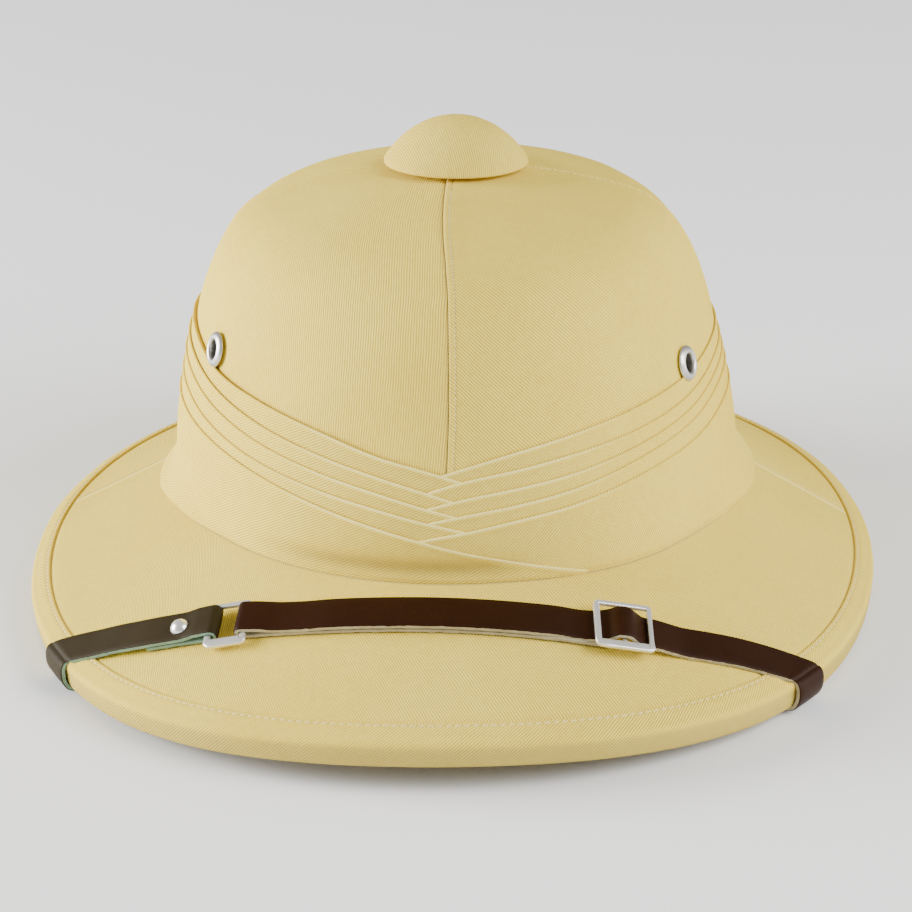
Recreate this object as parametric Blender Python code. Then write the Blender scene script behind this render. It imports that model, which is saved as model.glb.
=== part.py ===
"""Pith helmet: a four-panel cloth-covered crown on a two-piece sloping brim,
a pleated band whose left and right folds cross at the front, a bound edge,
a covered top button, two side eyelets and a buckled leather chin strap laid
over the front of the brim.

Metres, +Z up.  The front of the hat faces -Y, its left side (seen from the
front) is -X.  All shape functions work in the hat's own frame, whose z is
about zero at the brim edge; the empty "hat_rest" sets the hat down on the
ground with its lowest points at z = 0.

Angles run round the crown in degrees: 0 is +X, 90 is the back (+Y) and -90 is
the front (-Y).  "Swing" is the angle from the front centre, negative to -X.
"""
import bpy
import bmesh
from mathutils import Matrix, Vector
from math import cos, sin, pi, radians, degrees, sqrt, atan2, hypot
import numpy as np

MM = 0.001

# ------------------------------------------------------------ driving sizes
CROWN_CENTRE = (2.5 * MM, 3.6 * MM, 32.3 * MM)   # middle of the crown's base
CROWN_LENGTH_RATIO = 1.211                       # crown length / crown width
CROWN_PITCH = 2.92                               # degrees, top leans back
CROWN_LEAN = -0.0153                             # sideways run per unit of height
CROWN_WALL = 3.0 * MM
BRIM_WALL = 3.0 * MM
SEAM_GAP = 0.3 * MM
STEP = 6.0                                       # degrees between sections

# crown sections: height above its base, half width, swing of the front seam
CROWN_SECTIONS = (
    # height, half_width, front_seam_swing
    (0.0, 96.8, 0.0),
    (10.0, 95.4, 0.0),
    (20.0, 94.6, 0.0),
    (35.0, 92.4, 0.0),
    (50.0, 89.9, 0.6),
    (65.0, 86.4, 0.9),
    (78.0, 81.2, 1.0),
    (88.0, 74.6, 1.0),
    (95.4, 64.5, 0.4),
    (100.6, 49.0, -0.8),
    (103.9, 34.5, -1.6),
    (105.9, 20.0, -2.0),
    (106.7, 7.0, -2.0),
)
CROWN_HOLE = 7.0 * MM          # half width of the vent at the very top
SIDE_SEAM_LEFT = 170.0         # degrees round the crown
SIDE_SEAM_RIGHT = 6.0

# brim edge (the fold line of the binding), as harmonics of the angle
EDGE_HALF_WIDTH = 147.6 * MM
EDGE_HALF_WIDTH_3 = -1.4 * MM
EDGE_HALF_LENGTH = 168.6 * MM
EDGE_SHIFT_Y = -6.0 * MM
EDGE_EGG = -1.0 * MM
EDGE_HALF_LENGTH_3 = 2.1 * MM
EDGE_HEIGHT = 9.0 * MM
EDGE_WAVE = (-1.4 * MM, -0.3 * MM, 1.2 * MM, 1.1 * MM)   # cos 2, sin 1, sin 3, cos 4
BRIM_BOW = (0.064, 0.307, -0.094)                       # mean, sin 1, cos 2
LIP_HEIGHT = 8.3 * MM
LIP_UNDERCUT = 1.0 * MM
BINDING_WIDTH = 7.6 * MM
BRIM_SEAM_LEFT = 171.0
BRIM_SEAM_RIGHT = 4.0

# pleat lines: height of each fold's top edge on the crown, against the swing
# from the front centre; the back half mirrors the front half
PLEATS_LEFT = (
    # swing, fold 1, fold 2, fold 3, fold 4, wide band
    (26.0, 16.7, 9.8, 5.6, 2.1, 0.0),
    (14.0, 24.7, 17.8, 13.0, 10.1, 5.0),
    (3.0, 31.9, 24.9, 20.6, 16.7, 9.7),
    (-4.0, 35.4, 28.7, 23.8, 19.4, 13.0),
    (-13.0, 38.8, 32.6, 27.6, 22.7, 16.8),
    (-25.0, 44.0, 36.9, 31.5, 26.2, 21.3),
    (-42.0, 49.0, 42.2, 36.5, 30.6, 26.7),
    (-57.0, 52.0, 46.7, 41.0, 34.7, 30.2),
    (-74.0, 57.1, 51.5, 45.7, 39.0, 32.5),
    (-90.0, 58.9, 53.1, 47.1, 40.3, 33.1),
)
PLEATS_RIGHT = (
    # swing, fold 1, fold 2, fold 3, fold 4, wide band
    (-26.0, 21.1, 14.9, 10.3, 5.3, 1.4),
    (-14.0, 28.1, 22.3, 17.9, 13.5, 9.0),
    (-4.0, 32.7, 28.7, 23.8, 19.3, 14.3),
    (3.0, 36.1, 32.1, 26.7, 21.7, 16.5),
    (13.0, 40.0, 34.7, 29.1, 24.0, 19.4),
    (24.0, 43.0, 37.0, 31.1, 26.3, 21.6),
    (42.0, 46.5, 39.7, 34.9, 30.9, 25.8),
    (57.0, 48.8, 42.4, 38.0, 34.0, 28.3),
    (77.0, 52.5, 47.3, 43.1, 38.9, 32.0),
    (90.0, 53.0, 47.9, 43.7, 39.1, 32.0),
)
# outer face of each fold above the crown cloth, top fold to wide band
FOLD_STAND_LEFT = (1.60 * MM, 2.00 * MM, 2.30 * MM, 2.50 * MM, 2.90 * MM)
FOLD_STAND_RIGHT = (1.45 * MM, 1.50 * MM, 1.55 * MM, 1.65 * MM, 1.90 * MM)
FOLD_INNER = 0.45 * MM
FOLD_GAP = 0.35 * MM

# eyelets: side, angle round the crown, height
EYELETS = (
    ("eyelet_left", -149.9, 57.9 * MM),
    ("eyelet_right", -30.1, 52.3 * MM),
)
EYELET_OUTER_R = 6.0 * MM
EYELET_HOLE_R = 3.15 * MM
EYELET_BARREL_R = 3.6 * MM

# top button: its outline, from the rim to the top
BUTTON_SECTIONS = (
    # height, radius
    (0.0, 24.5),
    (1.5, 23.8),
    (3.5, 22.3),
    (6.0, 20.2),
    (9.0, 16.9),
    (11.5, 13.2),
    (13.4, 9.2),
    (14.6, 4.8),
    (15.0, 0.0),
)
BUTTON_HEIGHT = 108.6 * MM      # rim above the crown's base
BUTTON_SHIFT_X = 2.2 * MM
BUTTON_TILT = 1.2               # degrees, to the side of the slider
BUTTON_POST_R = 4.2 * MM

# chin strap
STRAP_WIDTH = 12.0 * MM
STRAP_THICK = 1.6 * MM
LOW_LAYER = 1.2 * MM            # mid plane of a strap lying on the brim
HIGH_LAYER = 3.2 * MM           # mid plane of a strap lying on another
BAR_LAYER = 2.9 * MM            # mid plane of the ring's bars
LOOP_TURN = (                   # the strap's mid plane round a ring bar
    # out from the bar's middle, up from it
    (1.3 * MM, -1.7 * MM), (2.1 * MM, -1.1 * MM), (2.35 * MM, 0.0),
    (2.1 * MM, 1.1 * MM), (1.3 * MM, 1.7 * MM))
RING_BARS_X = (-73.0 * MM, -61.5 * MM)
RING_BAR = 2.0 * MM
RING_THICK = 1.2 * MM
RING_OUTER_WIDTH = 18.8 * MM
SLIDER_BARS_X = (47.8 * MM, 64.0 * MM)
SLIDER_BARS = (2.2 * MM, 1.7 * MM)
SLIDER_THICK = 1.2 * MM
SLIDER_LAYER = 5.1 * MM
SLIDER_OUTER_WIDTH = 18.8 * MM
RIVET_X = -82.5 * MM
RIVET_HEAD_R = 3.1 * MM
RIVET_SHANK_R = 1.2 * MM
# the strap's centre line over the brim, in plan
STRAP_LINE = (
    # x, y
    (-127.0, -95.1),
    (-122.0, -96.9),
    (-109.0, -102.2),
    (-95.0, -108.2),
    (-80.0, -113.0),
    (-66.0, -117.0),
    (-44.0, -122.5),
    (-20.0, -126.4),
    (0.0, -128.0),
    (20.0, -128.4),
    (36.0, -127.9),
    (48.0, -127.0),
    (66.0, -124.2),
    (85.5, -119.4),
    (103.0, -115.3),
    (113.0, -113.5),
    (117.5, -112.9),
)
# strap ends inside the crown: angle round the crown's inner wall
ANCHOR_LEFT = -172.0
ANCHOR_RIGHT = -8.0
ANCHOR_HEIGHT = 9.0 * MM

# the hat set down on the ground
REST_PITCH = -1.047             # degrees about X
REST_ROLL = 0.082               # degrees about Y
REST_SHIFT = (0.0, 4.851 * MM, 4.631 * MM)

KHAKI = (0.66, 0.55, 0.32, 1.0)
KHAKI_BINDING = (0.63, 0.52, 0.30, 1.0)
LEATHER_BROWN = (0.05, 0.018, 0.008, 1.0)
LEATHER_OLIVE = (0.075, 0.055, 0.032, 1.0)
NICKEL = (0.72, 0.71, 0.69, 1.0)

for old in list(bpy.data.objects):
    bpy.data.objects.remove(old, do_unlink=True)


# ----------------------------------------------------------------- materials
def principled(name, colour, roughness, metallic=0.0):
    mat = bpy.data.materials.new(name)
    mat.use_nodes = True
    shader = mat.node_tree.nodes["Principled BSDF"]
    shader.inputs["Base Color"].default_value = colour
    shader.inputs["Roughness"].default_value = roughness
    shader.inputs["Metallic"].default_value = metallic
    mat.diffuse_color = colour
    return mat


# -------------------------------------------------------------------- shapes
def smooth_curve(xs, ys, x):
    """Cubic curve through the rows of a table (Catmull-Rom tangents)."""
    xs = np.asarray(xs, float)
    ys = np.asarray(ys, float)
    if xs[0] > xs[-1]:
        xs, ys = xs[::-1], ys[::-1]
    slope = np.gradient(ys, xs)
    x = np.clip(np.asarray(x, float), xs[0], xs[-1])
    i = np.clip(np.searchsorted(xs, x, side="right") - 1, 0, len(xs) - 2)
    w = xs[i + 1] - xs[i]
    t = (x - xs[i]) / w
    return ((2 * t**3 - 3 * t**2 + 1) * ys[i] + (t**3 - 2 * t**2 + t) * w * slope[i]
            + (-2 * t**3 + 3 * t**2) * ys[i + 1] + (t**3 - t**2) * w * slope[i + 1])


HEIGHTS = np.array([row[0] for row in CROWN_SECTIONS]) * MM
WIDTHS = np.array([row[1] for row in CROWN_SECTIONS]) * MM
TOP = HEIGHTS[-1]


def half_width(t):
    """Half width of the crown at a height, monotone between the sections."""
    h = np.diff(HEIGHTS)
    d = np.diff(WIDTHS) / h
    m = np.zeros(len(HEIGHTS))
    m[1:-1] = np.where(d[:-1] * d[1:] > 0,
                       3 * (h[:-1] + h[1:]) / ((2 * h[1:] + h[:-1]) / d[:-1]
                                               + (h[1:] + 2 * h[:-1]) / d[1:]), 0)
    m[0], m[-1] = d[0], d[-1]
    t = np.clip(t, HEIGHTS[0], HEIGHTS[-1])
    i = np.clip(np.searchsorted(HEIGHTS, t, side="right") - 1, 0, len(h) - 1)
    s = (t - HEIGHTS[i]) / h[i]
    return ((2 * s**3 - 3 * s**2 + 1) * WIDTHS[i] + (s**3 - 2 * s**2 + s) * h[i] * m[i]
            + (-2 * s**3 + 3 * s**2) * WIDTHS[i + 1] + (s**3 - s**2) * h[i] * m[i + 1])


def tilt_crown(p):
    c, s = cos(radians(CROWN_PITCH)), sin(radians(CROWN_PITCH))
    return np.stack([p[..., 0] + CROWN_CENTRE[0],
                     p[..., 1] * c + p[..., 2] * s + CROWN_CENTRE[1],
                     -p[..., 1] * s + p[..., 2] * c + CROWN_CENTRE[2]], -1)


def crown_at(angle, height, stand=0.0):
    """Point on the crown cloth at an angle (degrees) and a height, raised by
    stand along the surface's normal.  Below the base the wall runs on down."""
    a = np.radians(np.asarray(angle, float)) + 0 * np.asarray(height, float)
    h = np.asarray(height, float) + 0 * a

    def raw(a, h):
        w = half_width(np.clip(h, 0, TOP))
        return np.stack([CROWN_LEAN * h + w * np.cos(a),
                         CROWN_LENGTH_RATIO * w * np.sin(a), h], -1)
    p = raw(a, h)
    e = 1e-5
    lo, hi = np.clip(h - e, 0, TOP - 2 * e), np.clip(h + e, 2 * e, TOP)
    n = np.cross(raw(a + e, h) - raw(a - e, h), raw(a, hi) - raw(a, lo))
    n /= np.linalg.norm(n, axis=-1, keepdims=True)
    return tilt_crown(p + n * np.asarray(stand, float)[..., None])


def crown_frame(angle, height):
    """Position and the axes (sideways, up, out) of the crown cloth."""
    p = crown_at(angle, height)
    out = crown_at(angle, height, 0.001) - p
    side = crown_at(angle + 0.01, height) - crown_at(angle - 0.01, height)
    out /= np.linalg.norm(out)
    side /= np.linalg.norm(side)
    return p, side, np.cross(out, side), out


def edge_at(angle):
    """Fold line of the brim edge."""
    a = np.radians(np.asarray(angle, float))
    x = EDGE_HALF_WIDTH * np.cos(a) + EDGE_HALF_WIDTH_3 * np.cos(3 * a)
    y = (EDGE_SHIFT_Y + EDGE_HALF_LENGTH * np.sin(a) + EDGE_EGG * np.cos(2 * a)
         + EDGE_HALF_LENGTH_3 * np.sin(3 * a))
    z = (EDGE_HEIGHT + EDGE_WAVE[0] * (1 + np.cos(2 * a)) + EDGE_WAVE[1] * np.sin(a)
         + EDGE_WAVE[2] * np.sin(3 * a) + EDGE_WAVE[3] * (np.cos(4 * a) - 1))
    return np.stack([x, y, z], -1)


def edge_normal(angle):
    """Outward level direction at the brim edge."""
    d = edge_at(np.asarray(angle, float) + 0.01) - edge_at(np.asarray(angle, float) - 0.01)
    n = np.stack([d[..., 1], -d[..., 0], 0 * d[..., 0]], -1)
    return n / np.linalg.norm(n, axis=-1, keepdims=True)


def brim_at(angle, run, stand=0.0):
    """Point on the brim's top cloth: run 0 at the crown's base, 1 at the fold."""
    a = np.asarray(angle, float) + 0 * np.asarray(run, float)
    u = np.asarray(run, float) + 0 * a

    def raw(a, u):
        p0, p1 = crown_at(a, 0 * a), edge_at(a)
        bow = (BRIM_BOW[0] + BRIM_BOW[1] * np.sin(np.radians(a))
               + BRIM_BOW[2] * np.cos(2 * np.radians(a)))
        f = u + bow * u * (1 - u)
        return np.stack([p0[..., 0] + (p1[..., 0] - p0[..., 0]) * u,
                         p0[..., 1] + (p1[..., 1] - p0[..., 1]) * u,
                         p0[..., 2] + (p1[..., 2] - p0[..., 2]) * f], -1)
    p = raw(a, u)
    n = np.cross(raw(a, u + 1e-4) - raw(a, u - 1e-4), raw(a + 0.01, u) - raw(a - 0.01, u))
    n /= np.linalg.norm(n, axis=-1, keepdims=True)
    n = np.where(n[..., 2:] < 0, -n, n)
    return p + n * np.asarray(stand, float)[..., None]


def binding_run(angle):
    """Run at which the binding's inner edge lies."""
    span = np.linalg.norm(edge_at(angle) - crown_at(angle, 0 * np.asarray(angle, float)), axis=-1)
    return 1.0 - BINDING_WIDTH / span


def brim_over(x, y):
    """Angle and run of the brim point above a plan position (few Newton steps)."""
    a, u = degrees(atan2(y / 1.1, x)), 0.5
    for _ in range(12):
        p = brim_at(a, u)
        da = (brim_at(a + 0.05, u) - p) / 0.05
        du = (brim_at(a, u + 1e-3) - p) / 1e-3
        det = da[0] * du[1] - da[1] * du[0]
        ex, ey = x - p[0], y - p[1]
        a += (ex * du[1] - ey * du[0]) / det
        u += (da[0] * ey - da[1] * ex) / det
    return a, u


# ------------------------------------------------------------- mesh building
REST = bpy.data.objects.new("hat_rest", None)
REST.rotation_euler = (radians(REST_PITCH), radians(REST_ROLL), 0.0)
REST.location = REST_SHIFT
bpy.context.scene.collection.objects.link(REST)


def add_mesh(name, verts, faces, material, smooth=40.0):
    mesh = bpy.data.meshes.new(name)
    mesh.from_pydata([tuple(float(c) for c in v) for v in verts], [], faces)
    bm = bmesh.new()
    bm.from_mesh(mesh)
    bmesh.ops.remove_doubles(bm, verts=bm.verts, dist=1e-6)
    bm.to_mesh(mesh)
    bm.free()
    mesh.validate()
    if material is not None:
        mesh.materials.append(material)
    mesh.shade_smooth()
    mesh.set_sharp_from_angle(angle=radians(smooth))
    obj = bpy.data.objects.new(name, mesh)
    bpy.context.scene.collection.objects.link(obj)
    obj.parent = REST
    return obj


def add_wall(name, outer, inner, material, smooth=40.0):
    """A wall between two grids of points.  The outside of the outer grid is
    the side from which the next row lies to the right of the direction along
    a row."""
    rows, cols = len(outer), len(outer[0])
    verts = [p for row in outer for p in row] + [p for row in inner for p in row]
    back = rows * cols

    def at(i, j):
        return i * cols + j
    faces = []
    for i in range(rows - 1):
        for j in range(cols - 1):
            quad = (at(i, j), at(i + 1, j), at(i + 1, j + 1), at(i, j + 1))
            faces += [quad, tuple(back + v for v in reversed(quad))]
    rim = ([at(0, j) for j in range(cols)] + [at(i, cols - 1) for i in range(1, rows)]
           + [at(rows - 1, j) for j in range(cols - 2, -1, -1)]
           + [at(i, 0) for i in range(rows - 2, 0, -1)])
    for k, v in enumerate(rim):
        w = rim[(k + 1) % len(rim)]
        faces.append((v, w, back + w, back + v))
    return add_mesh(name, verts, faces, material, smooth)


def add_loft(name, rings, material, closed=True, smooth=40.0):
    """A solid through closed sections; open ends are capped."""
    n, k = len(rings), len(rings[0])
    verts = [p for ring in rings for p in ring]
    faces = []
    for i in range(n if closed else n - 1):
        a, b = i * k, ((i + 1) % n) * k
        faces += [(a + j, a + (j + 1) % k, b + (j + 1) % k, b + j) for j in range(k)]
    if not closed:
        faces += [tuple(reversed(range(k))), tuple((n - 1) * k + j for j in range(k))]
    return add_mesh(name, verts, faces, material, smooth)


def add_turned(name, profile, origin, axes, material, segments=24, smooth=40.0):
    """A turned solid: (radius, height) pairs round the third axis; a radius of
    zero closes the solid on the axis."""
    side, up, out = (Vector(v) for v in axes)
    o = Vector(origin)
    verts, faces, index = [], [], []
    for r, h in profile:
        if r == 0.0:
            index.append([len(verts)] * segments)
            verts.append(o + out * h)
        else:
            index.append(list(range(len(verts), len(verts) + segments)))
            verts += [o + out * h + (side * cos(2 * pi * j / segments)
                                     + up * sin(2 * pi * j / segments)) * r
                      for j in range(segments)]
    loop = profile[0][0] != 0.0
    for i in range(len(profile) if loop else len(profile) - 1):
        a, b = index[i], index[(i + 1) % len(profile)]
        for j in range(segments):
            k = (j + 1) % segments
            quad = [a[j], a[k], b[k], b[j]]
            face = [v for m, v in enumerate(quad) if v not in quad[:m]]
            if len(face) > 2:
                faces.append(tuple(face))
    obj = add_mesh(name, verts, faces, material, smooth)
    bm = bmesh.new()
    bm.from_mesh(obj.data)
    bmesh.ops.recalc_face_normals(bm, faces=bm.faces)
    bm.to_mesh(obj.data)
    bm.free()
    return obj


def cut(obj, cutter):
    cutter.hide_render = True
    cutter.display_type = "WIRE"
    hole = obj.modifiers.new("hole_" + cutter.name, "BOOLEAN")
    hole.operation = "DIFFERENCE"
    hole.solver = "EXACT"
    hole.object = cutter


def stations(start, stop, step=STEP):
    """Angles from start to stop, on whole steps in between."""
    inner = [k * step for k in range(int(np.floor(start / step)) + 1, int(np.ceil(stop / step)))]
    inner = [a for a in inner if a - start > 0.25 * step and stop - a > 0.25 * step]
    return [start] + inner + [stop]


# --------------------------------------------------------------------- crown
cover = principled("khaki_twill", KHAKI, 0.85)
CROWN_ROWS = [0, 14, 28, 42, 55, 66, 76, 84.5, 91.5, 96.6, 100.6, 103.7, 105.7, 106.7]


def seam_swing(height):
    return np.interp(height, HEIGHTS, [row[2] for row in CROWN_SECTIONS])


def crown_panel(name, start, stop, front_edge):
    """One cloth quarter.  front_edge is "start" or "stop" where that edge is
    the front seam, whose line wanders a little with height."""
    outer, inner = [], []
    for a in stations(start, stop):
        angles = []
        for h in CROWN_ROWS:
            angle = a
            if front_edge and abs(a + 90.0) < 0.01:
                angle = a + float(seam_swing(h * MM))
            # half the seam gap, kept constant along the seam
            pull = degrees(0.5 * SEAM_GAP / max(float(half_width(h * MM)), 5 * MM))
            if abs(a - start) < 1e-6:
                angle += pull
            if abs(a - stop) < 1e-6:
                angle -= pull
            angles.append(angle)
        outer.append([crown_at(g, h * MM) for g, h in zip(angles, CROWN_ROWS)])
        inner.append([crown_at(g, h * MM, -CROWN_WALL) for g, h in zip(angles, CROWN_ROWS)])
    return add_wall(name, outer, inner, cover)


crown_front_left = crown_panel("crown_panel_front_left", SIDE_SEAM_LEFT - 360.0, -90.0, True)
crown_front_right = crown_panel("crown_panel_front_right", -90.0, SIDE_SEAM_RIGHT, True)
crown_back_right = crown_panel("crown_panel_back_right", SIDE_SEAM_RIGHT, 90.0, False)
crown_back_left = crown_panel("crown_panel_back_left", 90.0, SIDE_SEAM_LEFT, False)

# ---------------------------------------------------------------------- brim


def brim_piece(name, start, stop):
    outer, inner = [], []
    seat_drop = np.array([0, 0, -0.35 * MM])
    for a in stations(start, stop):
        if abs(a - start) < 1e-6:
            a = a + degrees(0.5 * SEAM_GAP / (100 * MM))
        elif abs(a - stop) < 1e-6:
            a = a - degrees(0.5 * SEAM_GAP / (100 * MM))
        end = float(binding_run(a)) - 0.3 * MM / (50 * MM)
        runs = np.linspace(0.14, end, 4)
        seat = crown_at(a, 0.0, -CROWN_WALL) + seat_drop
        foot = crown_at(a, 0.0, 0.3 * MM) + seat_drop
        wall = np.array([0, 0, -BRIM_WALL])
        top = [seat, foot] + [brim_at(a, u) for u in runs]
        under = [seat + wall, foot + wall] + [brim_at(a, u, -BRIM_WALL) for u in runs]
        outer.append(top[::-1])
        inner.append(under[::-1])
    return add_wall(name, outer, inner, cover)


brim_front = brim_piece("brim_front", BRIM_SEAM_LEFT - 360.0, BRIM_SEAM_RIGHT)
brim_back = brim_piece("brim_back", BRIM_SEAM_RIGHT, BRIM_SEAM_LEFT)

binding_cloth = principled("khaki_binding", KHAKI_BINDING, 0.85)
rings = []
for k in range(int(360 / STEP)):
    a = k * STEP
    fold, out = edge_at(a), edge_normal(a)
    inner = brim_at(a, float(binding_run(a)) + 0.2 * MM / (50 * MM))
    down = np.array([0, 0, -1.0])
    under = brim_at(a, float(binding_run(a)) + 0.2 * MM / (50 * MM), -3.3 * MM)
    rings.append([
        inner,
        brim_at(a, 1.0 - 1.2 * MM / (50 * MM)),
        fold + down * 0.9 * MM + out * 0.1 * MM,
        fold + down * (LIP_HEIGHT - 0.6 * MM) - out * (LIP_UNDERCUT - 0.1 * MM),
        fold + down * LIP_HEIGHT - out * (LIP_UNDERCUT + 0.6 * MM),
        fold + down * (LIP_HEIGHT - 0.4 * MM) - out * 4.6 * MM,
        under,
    ])
binding = add_loft("brim_binding", rings, binding_cloth)

# ---------------------------------------------------------------- pleated band


def pleat_height(side, fold, swing):
    """Height of a fold's top edge at a swing from the front centre."""
    table = PLEATS_LEFT if side == "left" else PLEATS_RIGHT
    s = swing
    if side == "left":
        s = swing if swing >= -90.0 else -180.0 - swing
    else:
        s = swing if swing <= 90.0 else 180.0 - swing
    xs = [row[0] for row in table]
    if not min(xs) <= s <= max(xs):
        return -50.0
    return float(smooth_curve(xs, [row[1 + fold] for row in table], s))


def fold_bottom(side, fold, swing):
    """Lower limit of the part of a fold that isn't covered: the next fold of
    the same side, or a fold of the other side that crosses over it."""
    over = []
    if side == "left":
        if fold < 4:
            over = [pleat_height("left", fold + 1, swing), pleat_height("right", fold + 1, swing)]
    else:
        over = [pleat_height("left", fold, swing)]
        if fold < 4:
            over.append(pleat_height("right", fold + 1, swing))
    return max(over + [0.0])


def pleat(side, fold, name):
    way = -1.0 if side == "left" else 1.0
    swings = [-12.0, -9.0, -6.0, -4.0, -2.0, 0.0, 2.0, 4.0, 6.0, 9.0, 12.0, 18.0, 24.0]
    swings = [way * s for s in swings] + [way * s for s in np.arange(30.0, 180.0, STEP)]
    swings = sorted(swings + [way * 179.85], key=lambda s: way * s)
    rows, n = [], (3 if fold == 4 else 1)
    for s in swings:
        top = pleat_height(side, fold, s)
        low = fold_bottom(side, fold, s)
        if top - low < 1.3:
            continue
        top -= 0.5 * FOLD_GAP / MM
        low = 0.4 if low == 0.0 else low + 0.5 * FOLD_GAP / MM
        rows.append((-90.0 + s, [(top + (low - top) * i / n) * MM for i in range(n + 1)]))
    if way > 0:
        rows.reverse()
    stand = (FOLD_STAND_LEFT if side == "left" else FOLD_STAND_RIGHT)[fold]
    outer = [[crown_at(a, h, stand) for h in hs] for a, hs in rows]
    inner = [[crown_at(a, h, FOLD_INNER) for h in hs] for a, hs in rows]
    return add_wall(name, outer, inner, cover)


left_folds, right_folds = [], []
for fold in range(5):
    label = "fold_%d" % (fold + 1) if fold < 4 else "band"
    left_folds.append(pleat("left", fold, "puggaree_left_" + label))
    right_folds.append(pleat("right", fold, "puggaree_right_" + label))

# ----------------------------------------------------------------- top button
p0 = tilt_crown(np.array([CROWN_LEAN * BUTTON_HEIGHT + BUTTON_SHIFT_X, 0.0, BUTTON_HEIGHT]))
cp, sp = cos(radians(CROWN_PITCH)), sin(radians(CROWN_PITCH))
ct, st = cos(radians(BUTTON_TILT)), sin(radians(BUTTON_TILT))
button_side, button_up = np.array((1.0, 0, 0)), np.array((0, sp, cp))
button_axes = (button_side * ct - button_up * st, (0, cp, -sp), button_up * ct + button_side * st)
profile = [(r * MM, h * MM) for h, r in reversed(BUTTON_SECTIONS)]
rim = BUTTON_SECTIONS[0][1] * MM
profile += [(rim - 0.9 * MM, -0.1 * MM), (rim - 5 * MM, 0.5 * MM), (14 * MM, 1.0 * MM),
            (BUTTON_POST_R, 1.0 * MM), (BUTTON_POST_R, -5.5 * MM), (0.0, -5.5 * MM)]
button = add_turned("top_button", profile, p0, button_axes, cover, 28)

# -------------------------------------------------------------------- eyelets
nickel = principled("nickel", NICKEL, 0.3, 1.0)
for name, angle, height in EYELETS:
    p, side, up, out = crown_frame(angle, height)
    rim = [(EYELET_HOLE_R, 0.9 * MM), (EYELET_HOLE_R + 0.7 * MM, 1.7 * MM),
           (EYELET_HOLE_R + 1.6 * MM, 1.75 * MM), (EYELET_OUTER_R - 0.4 * MM, 1.1 * MM),
           (EYELET_OUTER_R, 0.6 * MM), (EYELET_OUTER_R - 0.1 * MM, 0.4 * MM),
           (EYELET_BARREL_R, 0.4 * MM), (EYELET_BARREL_R, -CROWN_WALL - 0.6 * MM),
           (EYELET_HOLE_R, -CROWN_WALL - 0.6 * MM)]
    add_turned(name, rim, p, (side, up, out), nickel, 20)
    bore = add_turned("cut_" + name, [(0.0, 4 * MM), (EYELET_BARREL_R + 0.3 * MM, 4 * MM),
                                      (EYELET_BARREL_R + 0.3 * MM, -8 * MM), (0.0, -8 * MM)],
                      p, (side, up, out), None, 20)
    cut(crown_front_left if name.endswith("left") else crown_front_right, bore)
    notch = add_turned("notch_" + name, [(0.0, 6 * MM), (EYELET_OUTER_R + 0.3 * MM, 6 * MM),
                                         (EYELET_OUTER_R + 0.3 * MM, -0.5 * MM),
                                         (0.0, -0.5 * MM)],
                       p, (side, up, out), None, 20)
    cut(left_folds[0] if name.endswith("left") else right_folds[0], notch)

# ----------------------------------------------------------------- chin strap
LINE_X = [row[0] * MM for row in STRAP_LINE]
LINE_Y = [row[1] * MM for row in STRAP_LINE]


def strap_frame(x):
    """Brim point below the strap's centre at x, with the directions along the
    strap (to +X), across it (away from the crown) and off the brim."""
    def on_brim(x):
        a, u = brim_over(x, float(smooth_curve(LINE_X, LINE_Y, x)))
        return brim_at(a, u), brim_at(a, u, 0.001) - brim_at(a, u)
    p, n = on_brim(x)
    q, _ = on_brim(x + 0.2 * MM)
    r, _ = on_brim(x - 0.2 * MM)
    along = q - r
    along /= np.linalg.norm(along)
    n /= np.linalg.norm(n)
    n -= along * np.dot(n, along)
    n /= np.linalg.norm(n)
    return p, along, np.cross(along, n), n


def over_brim(x, layer, skew=0.0):
    """Strap row above the brim: centre, across vector, off-brim direction.
    Skew slides the row's ends along the strap, so a row can follow the edge."""
    p, along, across, n = strap_frame(x)
    return p + n * layer, across * 0.5 * STRAP_WIDTH + along * skew, n


def edge_crossing(x_in, x_out):
    """Where the strap's centre line runs over the brim edge: x, edge angle and
    the skew that lays a row along the edge."""
    for _ in range(40):
        x = 0.5 * (x_in + x_out)
        if brim_over(x, float(smooth_curve(LINE_X, LINE_Y, x)))[1] > 1.0:
            x_out = x
        else:
            x_in = x
    angle = brim_over(x, float(smooth_curve(LINE_X, LINE_Y, x)))[0]
    p, along, across, n = strap_frame(x)
    tangent = edge_at(angle + 0.05) - edge_at(angle - 0.05)
    tangent *= np.sign(np.dot(tangent, across))
    skew = 0.5 * STRAP_WIDTH * np.dot(tangent, along) / np.dot(tangent, across)
    return x, angle, skew


def round_edge(angle, half):
    """Strap rows from the fold of the brim edge down round the lip and in
    under the brim; half is the row's across vector, along the edge."""
    fold, out = edge_at(angle), edge_normal(angle)
    down = np.array([0, 0, -1.0])
    lip = fold + down * LIP_HEIGHT - out * LIP_UNDERCUT
    return [
        (fold + (out * 0.8 - down * 0.9) * LOW_LAYER, half, (out - down) / sqrt(2)),
        (fold + down * 0.9 * MM + out * (LOW_LAYER + 0.3 * MM), half, out),
        (fold + down * 6.6 * MM + out * (LOW_LAYER - 0.5 * MM), half, out),
        (lip + down * 0.75 * MM + out * 0.85 * MM, half, (out + down) / sqrt(2)),
        (lip + down * (LOW_LAYER + 0.3 * MM) - out * 1.2 * MM, half, down),
        (lip + down * (LOW_LAYER + 0.3 * MM) - out * 4.2 * MM, half, down),
    ]


def strap_anchor(angle, height=ANCHOR_HEIGHT):
    """Where a strap's end lies against the inside of the crown wall."""
    p, side, up, out = crown_frame(angle, height)
    return p - out * (CROWN_WALL + LOW_LAYER), side, up, out


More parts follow.
